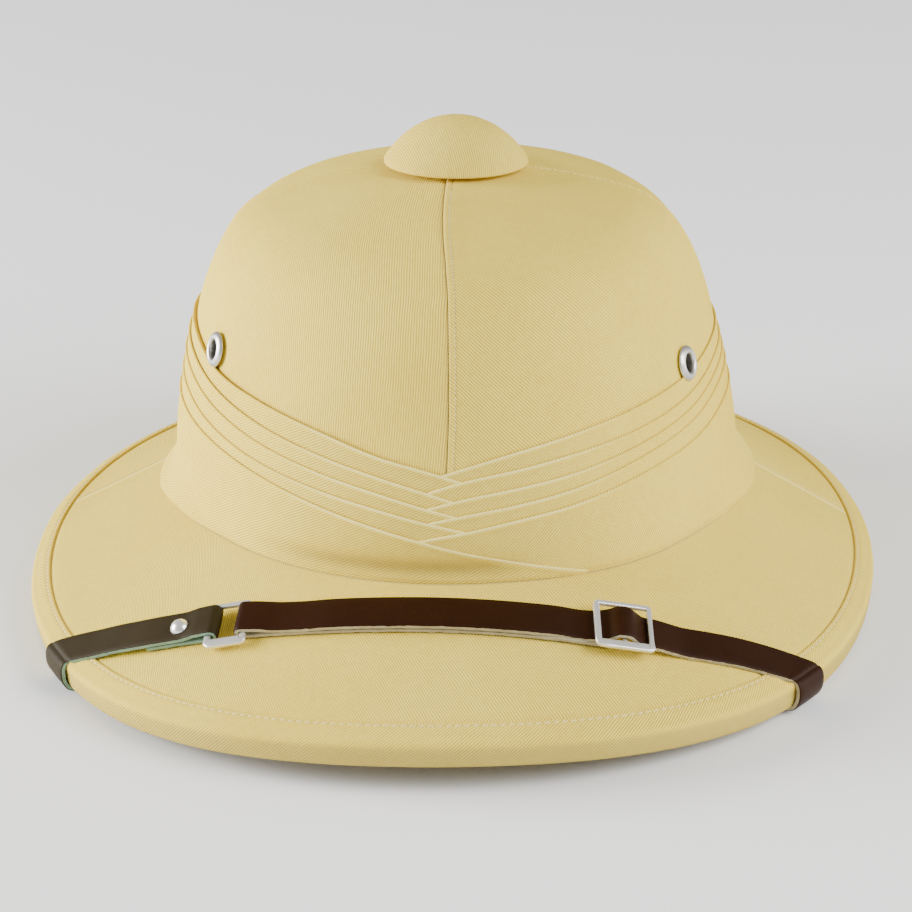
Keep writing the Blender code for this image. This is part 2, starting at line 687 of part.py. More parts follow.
def ribbon(name, rows, material):
    """A strap through rows of (centre, across, facing), centred on the rows;
    its faces stay parallel where it bends."""
    mids = np.array([r[0] for r in rows])
    step = np.diff(mids, axis=0)
    step /= np.linalg.norm(step, axis=1)[:, None]
    before = np.vstack([step[:1], step])
    after = np.vstack([step, step[-1:]])
    outer, inner, last = [], [], None
    for (c, w, n), t0, t1 in zip(rows, before, after):
        n0, n1 = np.cross(w, t0), np.cross(w, t1)
        n0, n1 = n0 / np.linalg.norm(n0), n1 / np.linalg.norm(n1)
        m = (n0 + n1) / np.linalg.norm(n0 + n1)
        m = m / max(np.dot(m, n0), 0.6) * 0.5 * STRAP_THICK
        outer.append([c - w + m, c + w + m])
        inner.append([c - w - m, c + w - m])
    return add_wall(name, outer, inner, material)


def hidden_run(last, angle, way):
    """Rows from under the brim edge to the crown's inner wall, with a quarter
    twist on the way, and up along the wall past the anchor (the plain way)."""
    c0, w0, n0 = last
    foot, side, up, out = strap_anchor(angle - way * 18.0, -12.0 * MM)
    travel = (foot - c0) / np.linalg.norm(foot - c0)
    flat = np.cross(travel, np.array([0, 0, 1.0]))
    flat *= np.sign(np.dot(flat, w0)) / np.linalg.norm(flat)
    rise = np.cross(travel, flat)
    rise *= np.sign(rise[2])
    rows = []
    for f, turn in ((0.1, 0.0), (0.25, 15.0), (0.42, 38.0), (0.6, 62.0), (0.78, 82.0)):
        w = flat * cos(radians(turn)) + rise * sin(radians(turn))
        rows.append((c0 + (foot - c0) * f, w * 0.5 * STRAP_WIDTH, n0))
    climb = ANCHOR_HEIGHT + 12.0 * MM
    for k in range(6):
        f = min(k / 4.0, 1.2)
        a = angle - way * 18.0 * (1 - f)
        h = climb * f - 12.0 * MM
        c, side, up, out = strap_anchor(a, h)
        go = strap_anchor(a + way * 1.0, h + climb / 18.0)[0] - c
        c = c - out * 1.3 * MM * max(1.0 - f, 0.0)
        w = np.cross(go, out)
        w *= np.sign(w[2]) / np.linalg.norm(w)
        rows.append((c, w * 0.5 * STRAP_WIDTH, -out))
    return rows


def loop_round_bar(x, way):
    """Rows of a half turn round a ring bar, from the low to the high layer;
    way is the side of the bar on which the strap turns back."""
    p, along, across, n = strap_frame(x)
    return [(p + n * (BAR_LAYER + up) + along * way * out, across * 0.5 * STRAP_WIDTH, n)
            for out, up in LOOP_TURN]


def ramp(x, table):
    return float(np.interp(x, [r[0] * MM for r in table], [r[1] * MM for r in table]))


# short strap: from under the brim at the left, over the edge, to the ring and
# back underneath to its cut end
olive = principled("leather_olive", LEATHER_OLIVE, 0.55)
SHORT_LIFT = (
    # x, lift of the mid plane
    (-128.0, 1.2), (-101.0, 1.2), (-94.5, 3.2), (-81.0, 3.2), (-77.0, 4.2), (-73.0, 4.6))
x_left, left_edge, skew_left = edge_crossing(-115 * MM, -130 * MM)
half = over_brim(x_left, 0.0, skew_left)[1]
wrap = round_edge(left_edge, half)
rows = list(reversed(hidden_run(wrap[-1], ANCHOR_LEFT, -1.0)))
rows += list(reversed(wrap))
for d, f in ((1.6, 1.0), (5.0, 0.75), (9.0, 0.45), (14.0, 0.15)):
    rows.append(over_brim(x_left + d * MM, LOW_LAYER, skew_left * f))
for x in (-101, -98, -94.5, -90, -84.4, -81, -79, -77, -75, -73):
    rows.append(over_brim(x * MM, ramp(x * MM, SHORT_LIFT)))
rows += list(reversed(loop_round_bar(RING_BARS_X[0], 1.0)))
for x in (-73, -77, -84.4, -90, -93.0):
    rows.append(over_brim(x * MM, LOW_LAYER))
short_strap = ribbon("short_strap", rows, olive)

# long strap: from its cut end by the slider under itself to the ring, round
# the ring's bar and back over itself, through the slider and over the brim
brown = principled("leather_brown", LEATHER_BROWN, 0.35)
LONG_LIFT = (
    # x, lift of the mid plane
    (-61.5, 4.6), (-58.0, 4.2), (-52.0, 3.2), (49.2, 3.2), (51.9, 4.7), (54.3, 7.1),
    (57.3, 7.1), (59.7, 4.7), (62.5, 3.2), (66.4, 3.0), (75.0, 1.2), (124.0, 1.2))
rows = []
for x in (51.9, 44, 36, 26, 16, 6, -4, -14, -24, -34, -44, -53, -58, -61.5):
    rows.append(over_brim(x * MM, LOW_LAYER))
rows += loop_round_bar(RING_BARS_X[1], -1.0)
for x in (-61.5, -59.6, -58, -55, -52, -44, -34, -24, -14, -4, 6, 16, 26, 36, 44, 49.2, 51.9, 54.3,
          57.3, 59.7, 62.5, 66.4, 70.4, 75, 84, 92, 99):
    rows.append(over_brim(x * MM, ramp(x * MM, LONG_LIFT)))
x_right, right_edge, skew_right = edge_crossing(105 * MM, 128 * MM)
for d, f in ((14.0, 0.15), (9.0, 0.45), (5.0, 0.75), (1.6, 1.0)):
    rows.append(over_brim(x_right - d * MM, LOW_LAYER, skew_right * f))
half = over_brim(x_right, 0.0, skew_right)[1]
wrap = round_edge(right_edge, half)
rows += wrap
rows += hidden_run(wrap[-1], ANCHOR_RIGHT, 1.0)
long_strap = ribbon("long_strap", rows, brown)

# plain rivets that hold the two hidden strap ends to the crown wall
for name, angle, panel, strap in (("strap_anchor_left", ANCHOR_LEFT, crown_front_left, short_strap),
                                  ("strap_anchor_right", ANCHOR_RIGHT, crown_front_right, long_strap)):
    q, side, up, out = strap_anchor(angle)
    head = 0.5 * STRAP_THICK + 0.3 * MM
    shape = [(0.0, -head - 1.0 * MM), (2.6 * MM, -head - 0.7 * MM), (3.0 * MM, -head),
             (1.2 * MM, -head), (1.2 * MM, LOW_LAYER + CROWN_WALL - 0.8 * MM),
             (0.0, LOW_LAYER + CROWN_WALL - 0.8 * MM)]
    add_turned(name, shape, q, (side, up, out), nickel, 16)
    bore = add_turned("cut_" + name, [(0.0, -4 * MM), (1.5 * MM, -4 * MM),
                                      (1.5 * MM, LOW_LAYER + CROWN_WALL - 0.4 * MM),
                                      (0.0, LOW_LAYER + CROWN_WALL - 0.4 * MM)],
                      q, (side, up, out), None, 16)
    cut(panel, bore)
    cut(strap, bore)


def frame_plate(name, x0, x1, layer, thick, width, end_bars, side_bar, mid_bar=0.0):
    """A flat rectangular frame round the strap; x0 and x1 are the middles of
    its two end bars."""
    ends = []
    for x in (x0, x1):
        p, _, across, n = strap_frame(x)
        ends.append(p + n * layer)
    along = ends[1] - ends[0]
    half = 0.5 * np.linalg.norm(along)
    along /= 2 * half
    p, _, across, n = strap_frame(0.5 * (x0 + x1))
    n = n - along * np.dot(n, along)
    n /= np.linalg.norm(n)
    across = np.cross(along, n)
    p = 0.5 * (ends[0] + ends[1]) - n * layer
    half += 0.25 * (end_bars[0] + end_bars[1])
    outer = [(-half, -0.5 * width), (half, -0.5 * width), (half, 0.5 * width), (-half, 0.5 * width)]
    ix0, ix1 = -half + end_bars[0], half - end_bars[1]
    iy = 0.5 * width - side_bar
    inner = [(ix0, -iy), (ix1, -iy), (ix1, iy), (ix0, iy)]

    def ring_points(corners, bevel):
        pts = []
        for i, (cx, cy) in enumerate(corners):
            px, py = corners[i - 1]
            nx, ny = corners[(i + 1) % 4]
            for qx, qy in ((px, py), (nx, ny)):
                d = hypot(qx - cx, qy - cy)
                pts.append((cx + (qx - cx) / d * bevel, cy + (qy - cy) / d * bevel))
        return pts
    o, i_ = ring_points(outer, 0.7 * MM), ring_points(inner, 0.4 * MM)

    def place(pt, h):
        return p + along * pt[0] + across * pt[1] + n * (layer + h)
    verts = []
    for pts, h in ((o, -0.5), (o, 0.5), (i_, 0.5), (i_, -0.5)):
        verts += [place(pt, h * thick) for pt in pts]
    k = 8
    faces = []
    for r in range(4):
        a, b = r * k, ((r + 1) % 4) * k
        faces += [(a + j, a + (j + 1) % k, b + (j + 1) % k, b + j) for j in range(k)]
    obj = add_mesh(name, verts, faces, nickel)
    if mid_bar:
        y = iy + 0.3 * MM
        box = [(-0.5 * mid_bar, -y), (0.5 * mid_bar, -y), (0.5 * mid_bar, y), (-0.5 * mid_bar, y)]
        verts = [place(pt, -0.4 * thick) for pt in box] + [place(pt, 0.4 * thick) for pt in box]
        faces = [(3, 2, 1, 0), (4, 5, 6, 7), (0, 1, 5, 4), (1, 2, 6, 5), (2, 3, 7, 6), (3, 0, 4, 7)]
        bar = add_mesh("bar_" + name, verts, faces, None)
        bm = bmesh.new()
        bm.from_mesh(bar.data)
        bmesh.ops.recalc_face_normals(bm, faces=bm.faces)
        bm.to_mesh(bar.data)
        bm.free()
        bar.hide_render = True
        bar.display_type = "WIRE"
        join = obj.modifiers.new("middle_bar", "BOOLEAN")
        join.operation = "UNION"
        join.solver = "EXACT"
        join.object = bar
    bm = bmesh.new()
    bm.from_mesh(obj.data)
    bmesh.ops.recalc_face_normals(bm, faces=bm.faces)
    bm.to_mesh(obj.data)
    bm.free()
    return obj


frame_plate("strap_ring", RING_BARS_X[0], RING_BARS_X[1], BAR_LAYER, RING_THICK,
            RING_OUTER_WIDTH, (RING_BAR, RING_BAR), 2.3 * MM)
frame_plate("slider_buckle", SLIDER_BARS_X[0], SLIDER_BARS_X[1], SLIDER_LAYER, SLIDER_THICK,
            SLIDER_OUTER_WIDTH, SLIDER_BARS, 2.2 * MM, 1.8 * MM)

# dome rivet through both layers of the short strap
p, along, across, n = strap_frame(RIVET_X)
top = HIGH_LAYER + 0.5 * STRAP_THICK + 0.3 * MM
shape = [(0.0, top + 1.9 * MM), (1.3 * MM, top + 1.7 * MM), (2.4 * MM, top + 1.1 * MM),
         (RIVET_HEAD_R, top + 0.2 * MM), (RIVET_HEAD_R, top),
         (RIVET_SHANK_R, top), (RIVET_SHANK_R, 0.7 * MM), (0.0, 0.7 * MM)]
add_turned("strap_rivet", shape, p, (along, -across, n), nickel, 20)
bore = add_turned("cut_strap_rivet", [(0.0, 8 * MM), (RIVET_SHANK_R + 0.3 * MM, 8 * MM),
                                      (RIVET_SHANK_R + 0.3 * MM, -0.3 * MM), (0.0, -0.3 * MM)],
                  p, (along, -across, n), None, 16)
cut(short_strap, bore)
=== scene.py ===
import bmesh
import bpy
import numpy as np
from math import atan2, cos, degrees, hypot, pi, radians, sin, sqrt
from mathutils import Matrix, Vector


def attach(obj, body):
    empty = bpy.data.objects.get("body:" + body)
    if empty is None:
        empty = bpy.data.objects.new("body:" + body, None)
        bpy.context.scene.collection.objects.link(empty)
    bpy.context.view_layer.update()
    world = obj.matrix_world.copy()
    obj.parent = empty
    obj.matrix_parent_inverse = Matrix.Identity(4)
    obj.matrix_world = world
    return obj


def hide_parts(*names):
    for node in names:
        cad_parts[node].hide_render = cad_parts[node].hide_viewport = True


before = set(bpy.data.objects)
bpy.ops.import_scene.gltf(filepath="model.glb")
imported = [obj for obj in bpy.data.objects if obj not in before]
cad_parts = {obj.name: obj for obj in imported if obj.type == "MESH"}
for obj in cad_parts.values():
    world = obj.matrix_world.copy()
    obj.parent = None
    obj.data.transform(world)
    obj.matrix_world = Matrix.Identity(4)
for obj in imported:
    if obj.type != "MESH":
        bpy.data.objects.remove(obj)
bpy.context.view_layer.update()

MM = 0.001

# ------------------------------------------------------------ the hat's sizes
CROWN_CENTRE = (2.5 * MM, 3.6 * MM, 32.3 * MM)
CROWN_LENGTH_RATIO = 1.211
CROWN_PITCH = 2.92
CROWN_LEAN = -0.0153
CROWN_WALL = 3.0 * MM
BRIM_WALL = 3.0 * MM
SEAM_GAP = 0.3 * MM
CROWN_SECTIONS = (
    # height, half_width, front_seam_swing
    (0.0, 96.8, 0.0),
    (10.0, 95.4, 0.0),
    (20.0, 94.6, 0.0),
    (35.0, 92.4, 0.0),
    (50.0, 89.9, 0.6),
    (65.0, 86.4, 0.9),
    (78.0, 81.2, 1.0),
    (88.0, 74.6, 1.0),
    (95.4, 64.5, 0.4),
    (100.6, 49.0, -0.8),
    (103.9, 34.5, -1.6),
    (105.9, 20.0, -2.0),
    (106.7, 7.0, -2.0),
)
SIDE_SEAM_LEFT = 170.0
SIDE_SEAM_RIGHT = 6.0
EDGE_HALF_WIDTH = 147.6 * MM
EDGE_HALF_WIDTH_3 = -1.4 * MM
EDGE_HALF_LENGTH = 168.6 * MM
EDGE_SHIFT_Y = -6.0 * MM
EDGE_EGG = -1.0 * MM
EDGE_HALF_LENGTH_3 = 2.1 * MM
EDGE_HEIGHT = 9.0 * MM
EDGE_WAVE = (-1.4 * MM, -0.3 * MM, 1.2 * MM, 1.1 * MM)
BRIM_BOW = (0.064, 0.307, -0.094)
LIP_HEIGHT = 8.3 * MM
LIP_UNDERCUT = 1.0 * MM
BINDING_WIDTH = 7.6 * MM
BRIM_SEAM_LEFT = 171.0
BRIM_SEAM_RIGHT = 4.0
PLEATS_LEFT = (
    # swing, fold 1, fold 2, fold 3, fold 4, wide band
    (26.0, 16.7, 9.8, 5.6, 2.1, 0.0),
    (14.0, 24.7, 17.8, 13.0, 10.1, 5.0),
    (3.0, 31.9, 24.9, 20.6, 16.7, 9.7),
    (-4.0, 35.4, 28.7, 23.8, 19.4, 13.0),
    (-13.0, 38.8, 32.6, 27.6, 22.7, 16.8),
    (-25.0, 44.0, 36.9, 31.5, 26.2, 21.3),
    (-42.0, 49.0, 42.2, 36.5, 30.6, 26.7),
    (-57.0, 52.0, 46.7, 41.0, 34.7, 30.2),
    (-74.0, 57.1, 51.5, 45.7, 39.0, 32.5),
    (-90.0, 58.9, 53.1, 47.1, 40.3, 33.1),
)
PLEATS_RIGHT = (
    # swing, fold 1, fold 2, fold 3, fold 4, wide band
    (-26.0, 21.1, 14.9, 10.3, 5.3, 1.4),
    (-14.0, 28.1, 22.3, 17.9, 13.5, 9.0),
    (-4.0, 32.7, 28.7, 23.8, 19.3, 14.3),
    (3.0, 36.1, 32.1, 26.7, 21.7, 16.5),
    (13.0, 40.0, 34.7, 29.1, 24.0, 19.4),
    (24.0, 43.0, 37.0, 31.1, 26.3, 21.6),
    (42.0, 46.5, 39.7, 34.9, 30.9, 25.8),
    (57.0, 48.8, 42.4, 38.0, 34.0, 28.3),
    (77.0, 52.5, 47.3, 43.1, 38.9, 32.0),
    (90.0, 53.0, 47.9, 43.7, 39.1, 32.0),
)
EYELETS = (
    ("eyelet_left", -149.9, 57.9 * MM),
    ("eyelet_right", -30.1, 52.3 * MM),
)
BUTTON_SECTIONS = (
    # height, radius
    (0.0, 24.5),
    (1.5, 23.8),
    (3.5, 22.3),
    (6.0, 20.2),
    (9.0, 16.9),
    (11.5, 13.2),
    (13.4, 9.2),
    (14.6, 4.8),
    (15.0, 0.0),
)
BUTTON_HEIGHT = 108.6 * MM
BUTTON_SHIFT_X = 2.2 * MM
BUTTON_TILT = 1.2
STRAP_WIDTH = 12.0 * MM
STRAP_THICK = 1.6 * MM
LOW_LAYER = 1.2 * MM
BAR_LAYER = 2.9 * MM
LOOP_TURN = (
    # out from the bar's middle, up from it
    (1.3 * MM, -1.7 * MM), (2.1 * MM, -1.1 * MM), (2.35 * MM, 0.0),
    (2.1 * MM, 1.1 * MM), (1.3 * MM, 1.7 * MM))
RING_BARS_X = (-73.0 * MM, -61.5 * MM)
SLIDER_BARS_X = (47.8 * MM, 64.0 * MM)
SLIDER_LAYER = 5.1 * MM
RIVET_X = -82.5 * MM
STRAP_LINE = (
    # x, y
    (-127.0, -95.1),
    (-122.0, -96.9),
    (-109.0, -102.2),
    (-95.0, -108.2),
    (-80.0, -113.0),
    (-66.0, -117.0),
    (-44.0, -122.5),
    (-20.0, -126.4),
    (0.0, -128.0),
    (20.0, -128.4),
    (36.0, -127.9),
    (48.0, -127.0),
    (66.0, -124.2),
    (85.5, -119.4),
    (103.0, -115.3),
    (113.0, -113.5),
    (117.5, -112.9),
)
ANCHOR_LEFT = -172.0
ANCHOR_RIGHT = -8.0
ANCHOR_HEIGHT = 9.0 * MM
REST_PITCH = -1.047
REST_ROLL = 0.082
REST_SHIFT = (0.0, 4.851 * MM, 4.631 * MM)

REST = (Matrix.Translation(REST_SHIFT) @ Matrix.Rotation(radians(REST_ROLL), 4, "Y")
        @ Matrix.Rotation(radians(REST_PITCH), 4, "X"))
REST_ROT = np.array(REST.to_3x3())
REST_MOVE = np.array(REST.translation)


# -------------------------------------------------------------- hat surfaces
def smooth_curve(xs, ys, x):
    """Cubic curve through the rows of a table (Catmull-Rom tangents)."""
    xs = np.asarray(xs, float)
    ys = np.asarray(ys, float)
    if xs[0] > xs[-1]:
        xs, ys = xs[::-1], ys[::-1]
    slope = np.gradient(ys, xs)
    x = np.clip(np.asarray(x, float), xs[0], xs[-1])
    i = np.clip(np.searchsorted(xs, x, side="right") - 1, 0, len(xs) - 2)
    w = xs[i + 1] - xs[i]
    t = (x - xs[i]) / w
    return ((2 * t**3 - 3 * t**2 + 1) * ys[i] + (t**3 - 2 * t**2 + t) * w * slope[i]
            + (-2 * t**3 + 3 * t**2) * ys[i + 1] + (t**3 - t**2) * w * slope[i + 1])


HEIGHTS = np.array([row[0] for row in CROWN_SECTIONS]) * MM
WIDTHS = np.array([row[1] for row in CROWN_SECTIONS]) * MM
TOP = HEIGHTS[-1]


def half_width(t):
    h = np.diff(HEIGHTS)
    d = np.diff(WIDTHS) / h
    m = np.zeros(len(HEIGHTS))
    m[1:-1] = np.where(d[:-1] * d[1:] > 0,
                       3 * (h[:-1] + h[1:]) / ((2 * h[1:] + h[:-1]) / d[:-1]
                                               + (h[1:] + 2 * h[:-1]) / d[1:]), 0)
    m[0], m[-1] = d[0], d[-1]
    t = np.clip(t, HEIGHTS[0], HEIGHTS[-1])
    i = np.clip(np.searchsorted(HEIGHTS, t, side="right") - 1, 0, len(h) - 1)
    s = (t - HEIGHTS[i]) / h[i]
    return ((2 * s**3 - 3 * s**2 + 1) * WIDTHS[i] + (s**3 - 2 * s**2 + s) * h[i] * m[i]
            + (-2 * s**3 + 3 * s**2) * WIDTHS[i + 1] + (s**3 - s**2) * h[i] * m[i + 1])


def tilt_crown(p):
    c, s = cos(radians(CROWN_PITCH)), sin(radians(CROWN_PITCH))
    return np.stack([p[..., 0] + CROWN_CENTRE[0],
                     p[..., 1] * c + p[..., 2] * s + CROWN_CENTRE[1],
                     -p[..., 1] * s + p[..., 2] * c + CROWN_CENTRE[2]], -1)


def crown_at(angle, height, stand=0.0):
    """Crown cloth at an angle (degrees) and height, raised by stand."""
    a = np.radians(np.asarray(angle, float)) + 0 * np.asarray(height, float)
    h = np.asarray(height, float) + 0 * a

    def raw(a, h):
        w = half_width(np.clip(h, 0, TOP))
        return np.stack([CROWN_LEAN * h + w * np.cos(a),
                         CROWN_LENGTH_RATIO * w * np.sin(a), h], -1)
    p = raw(a, h)
    e = 1e-5
    lo, hi = np.clip(h - e, 0, TOP - 2 * e), np.clip(h + e, 2 * e, TOP)
    n = np.cross(raw(a + e, h) - raw(a - e, h), raw(a, hi) - raw(a, lo))
    n /= np.linalg.norm(n, axis=-1, keepdims=True)
    return tilt_crown(p + n * np.asarray(stand, float)[..., None])


def crown_frame(angle, height):
    p = crown_at(angle, height)
    out = crown_at(angle, height, 0.001) - p
    side = crown_at(angle + 0.01, height) - crown_at(angle - 0.01, height)
    out /= np.linalg.norm(out)
    side /= np.linalg.norm(side)
    return p, side, np.cross(out, side), out


def edge_at(angle):
    """Fold line of the brim edge."""
    a = np.radians(np.asarray(angle, float))
    x = EDGE_HALF_WIDTH * np.cos(a) + EDGE_HALF_WIDTH_3 * np.cos(3 * a)
    y = (EDGE_SHIFT_Y + EDGE_HALF_LENGTH * np.sin(a) + EDGE_EGG * np.cos(2 * a)
         + EDGE_HALF_LENGTH_3 * np.sin(3 * a))
    z = (EDGE_HEIGHT + EDGE_WAVE[0] * (1 + np.cos(2 * a)) + EDGE_WAVE[1] * np.sin(a)
         + EDGE_WAVE[2] * np.sin(3 * a) + EDGE_WAVE[3] * (np.cos(4 * a) - 1))
    return np.stack([x, y, z], -1)


def edge_normal(angle):
    d = edge_at(np.asarray(angle, float) + 0.01) - edge_at(np.asarray(angle, float) - 0.01)
    n = np.stack([d[..., 1], -d[..., 0], 0 * d[..., 0]], -1)
    return n / np.linalg.norm(n, axis=-1, keepdims=True)


def brim_raw(a, u):
    t = np.radians(a)
    w = WIDTHS[0]
    p0 = tilt_crown(np.stack([w * np.cos(t), CROWN_LENGTH_RATIO * w * np.sin(t), 0 * t], -1))
    p1 = edge_at(a)
    bow = BRIM_BOW[0] + BRIM_BOW[1] * np.sin(t) + BRIM_BOW[2] * np.cos(2 * t)
    f = u + bow * u * (1 - u)
    return np.stack([p0[..., 0] + (p1[..., 0] - p0[..., 0]) * u,
                     p0[..., 1] + (p1[..., 1] - p0[..., 1]) * u,
                     p0[..., 2] + (p1[..., 2] - p0[..., 2]) * f], -1)


def brim_at(angle, run, stand=0.0):
    """Brim's top cloth: run 0 at the crown's base, 1 at the fold."""
    a = np.asarray(angle, float) + 0 * np.asarray(run, float)
    u = np.asarray(run, float) + 0 * a
    raw = brim_raw
    p = raw(a, u)
    n = np.cross(raw(a, u + 1e-4) - raw(a, u - 1e-4), raw(a + 0.01, u) - raw(a - 0.01, u))
    n /= np.linalg.norm(n, axis=-1, keepdims=True)
    n = np.where(n[..., 2:] < 0, -n, n)
    return p + n * np.asarray(stand, float)[..., None]


def brim_span(angle):
    return np.linalg.norm(edge_at(angle) - crown_at(angle, 0 * np.asarray(angle, float)), axis=-1)


def binding_run(angle):
    return 1.0 - BINDING_WIDTH / brim_span(angle)


def brim_over(x, y):
    a, u = degrees(atan2(y / 1.1, x)), 0.5
    for _ in range(7):
        q = brim_raw(np.array([a, a + 0.05, a]), np.array([u, u, u + 1e-3]))
        p = q[0]
        da = (q[1] - p) / 0.05
        du = (q[2] - p) / 1e-3
        det = da[0] * du[1] - da[1] * du[0]
        ex, ey = x - p[0], y - p[1]
        a += (ex * du[1] - ey * du[0]) / det
        u += (da[0] * ey - da[1] * ex) / det
    return a, u


def ripple(p, size, seed):
    """Slow unevenness from -1 to 1 over the points p, of the given size."""
    r = np.random.RandomState(seed)
    total = 0
    for _ in range(7):
        k = r.normal(size=3)
        k *= 2 * pi / size / np.linalg.norm(k) * r.uniform(0.6, 1.5)
        total = total + np.sin(p @ k + r.uniform(0, 2 * pi))
    return total / 3.0


def bump_at(x, centre, width):
    return np.exp(-((x - centre) / width) ** 2)


def step_up(x, lo, hi):
    t = np.clip((x - lo) / (hi - lo), 0, 1)
    return t * t * (3 - 2 * t)


# ---------------------------------------------------------------- materials
class Nodes:
    """Short way to write a node tree."""

    def __init__(self, name):
        self.mat = bpy.data.materials.new(name)
        self.mat.use_nodes = True
        self.tree = self.mat.node_tree
        self.bsdf = self.tree.nodes["Principled BSDF"]

    def add(self, kind, **values):
        node = self.tree.nodes.new(kind)
        for key, value in values.items():
            setattr(node, key, value)
        return node

    def link(self, value, socket):
        if hasattr(value, "is_output"):
            self.tree.links.new(value, socket)
        else:
            socket.default_value = value

    def math(self, op, a, b=0.0, c=0.0, clamp=False):
        node = self.add("ShaderNodeMath", operation=op, use_clamp=clamp)
        for value, socket in zip((a, b, c), node.inputs):
            self.link(value, socket)
        return node.outputs[0]

    def mix(self, factor, a, b):
        node = self.add("ShaderNodeMix", data_type="RGBA")
        self.link(factor, node.inputs[0])
        self.link(a, node.inputs[6])
        self.link(b, node.inputs[7])
        return node.outputs[2]

    def noise(self, vector, scale, detail=2.0, rough=0.5):
        node = self.add("ShaderNodeTexNoise")
        if vector is not None:
            self.link(vector, node.inputs["Vector"])
        node.inputs["Scale"].default_value = scale
        node.inputs["Detail"].default_value = detail
        node.inputs["Roughness"].default_value = rough
        return node.outputs["Fac"]

    def attribute(self, name):
        return self.add("ShaderNodeAttribute", attribute_name=name).outputs["Vector"]

    def place(self):
        return self.add("ShaderNodeTexCoord").outputs["Object"]

    def bump(self, height, distance, strength=1.0, normal=None):
        node = self.add("ShaderNodeBump")
        node.inputs["Strength"].default_value = strength
        node.inputs["Distance"].default_value = distance
        self.link(height, node.inputs["Height"])
        if normal is not None:
            self.link(normal, node.inputs["Normal"])
        return node.outputs["Normal"]

    def set(self, **values):
        for key, value in values.items():
            self.link(value, self.bsdf.inputs[key.replace("_", " ")])


CREASE = (0.225, 0.185, 0.165, 1.0)        # painted shade colour for thin creases and grooves
HOLLOW_SHADE_COLOUR = (0.200, 0.136, 0.038, 1.0)   # painted shade colour for the broad hollow in the front band
# painted highlight colour, mixed in where the cloth's z value is below 0
FOLD_LIGHT = (0.965, 0.845, 0.290, 1.0)


def twill(name, colour, dark, light, pitch=0.82 * MM, depth=0.16 * MM, wale=1.45, crease=CREASE):
    """Cotton twill: slanting wales of short floats.  The attribute "cloth"
    holds the place along the wales (x) and across them (y), in metres, and how
    deep in a crease the cloth is (z): above 0 it mixes in painted shade of the
    crease colour, below 0 a painted highlight of FOLD_LIGHT on a fold."""
    m = Nodes(name)
    cloth = m.attribute("cloth")
    place = m.place()
    split = m.add("ShaderNodeSeparateXYZ")
    m.link(cloth, split.inputs[0])
    along, across = split.outputs[0], split.outputs[1]
    # the wales wander a little
    level = m.add("ShaderNodeCombineXYZ")
    m.link(along, level.inputs[0])
    m.link(across, level.inputs[1])
    wander = m.noise(level.outputs[0], 90.0, 2.0)
    across = m.math("ADD", across, m.math("MULTIPLY", m.math("SUBTRACT", wander, 0.5), 0.9 * MM))
    turns = m.math("DIVIDE", across, pitch)
    wave = m.math("SINE", m.math("MULTIPLY", turns, 2 * pi))
    ridge = m.math("MULTIPLY_ADD", wave, 0.5, 0.5)
    row = m.math("FLOOR", turns)
    float_turn = m.math("ADD", m.math("DIVIDE", along, 0.62 * MM), m.math("MULTIPLY", row, 0.37))
    floats = m.math("MULTIPLY_ADD", m.math("SINE", m.math("MULTIPLY", float_turn, 2 * pi)), 0.5, 0.5)
    fibre = m.noise(place, 2600.0, 2.0, 0.6)
    slub = m.noise(place, 420.0, 2.0, 0.6)
    height = m.math("ADD", m.math("MULTIPLY", ridge, 0.75),
                    m.math("ADD", m.math("MULTIPLY", floats, 0.16), m.math("MULTIPLY", fibre, 0.25)))
    # where the twill shows more or less clearly
    patch = m.noise(place, 16.0, 2.0)
    clear = m.math("MULTIPLY_ADD", patch, 1.5, -0.05, clamp=True)
    shade = m.math("MULTIPLY", m.math("SUBTRACT", height, 0.55), m.math("MULTIPLY", clear, wale))
    shade = m.math("ADD", shade, m.math("MULTIPLY", m.math("SUBTRACT", slub, 0.5), 0.30))
    blotch = m.noise(place, 22.0, 3.0, 0.55)
    shade = m.math("ADD", shade, m.math("MULTIPLY", m.math("SUBTRACT", blotch, 0.5), 0.34))
    factor = m.math("ADD", shade, 0.5, clamp=True)
    low = m.mix(m.math("MULTIPLY", factor, 2.0, clamp=True), dark, colour)
    full = m.mix(m.math("MULTIPLY_ADD", factor, 2.0, -1.0, clamp=True), low, light)
    # painted shade: the cloth's z value mixes in the crease colour
    full = m.mix(m.math("MULTIPLY", split.outputs[2], 0.62, clamp=True), full, crease)
    # painted highlight: z below 0 mixes in FOLD_LIGHT
    full = m.mix(m.math("MULTIPLY", split.outputs[2], -0.75, clamp=True), full, FOLD_LIGHT)
    m.set(Base_Color=full, Roughness=0.92, Normal=m.bump(height, depth, 0.9))
    m.bsdf.inputs["Specular IOR Level"].default_value = 0.10
    return m.mat


def plain_cloth(name, colour, dark):
    m = Nodes(name)
    place = m.place()
    fibre = m.noise(place, 1500.0, 3.0, 0.6)
    blotch = m.noise(place, 35.0, 3.0)
    m.set(Base_Color=m.mix(m.math("ADD", m.math("MULTIPLY", fibre, 0.5),
                                  m.math("MULTIPLY", blotch, 0.5)), dark, colour),
          Roughness=0.95, Normal=m.bump(fibre, 0.0001, 0.6))
    return m.mat


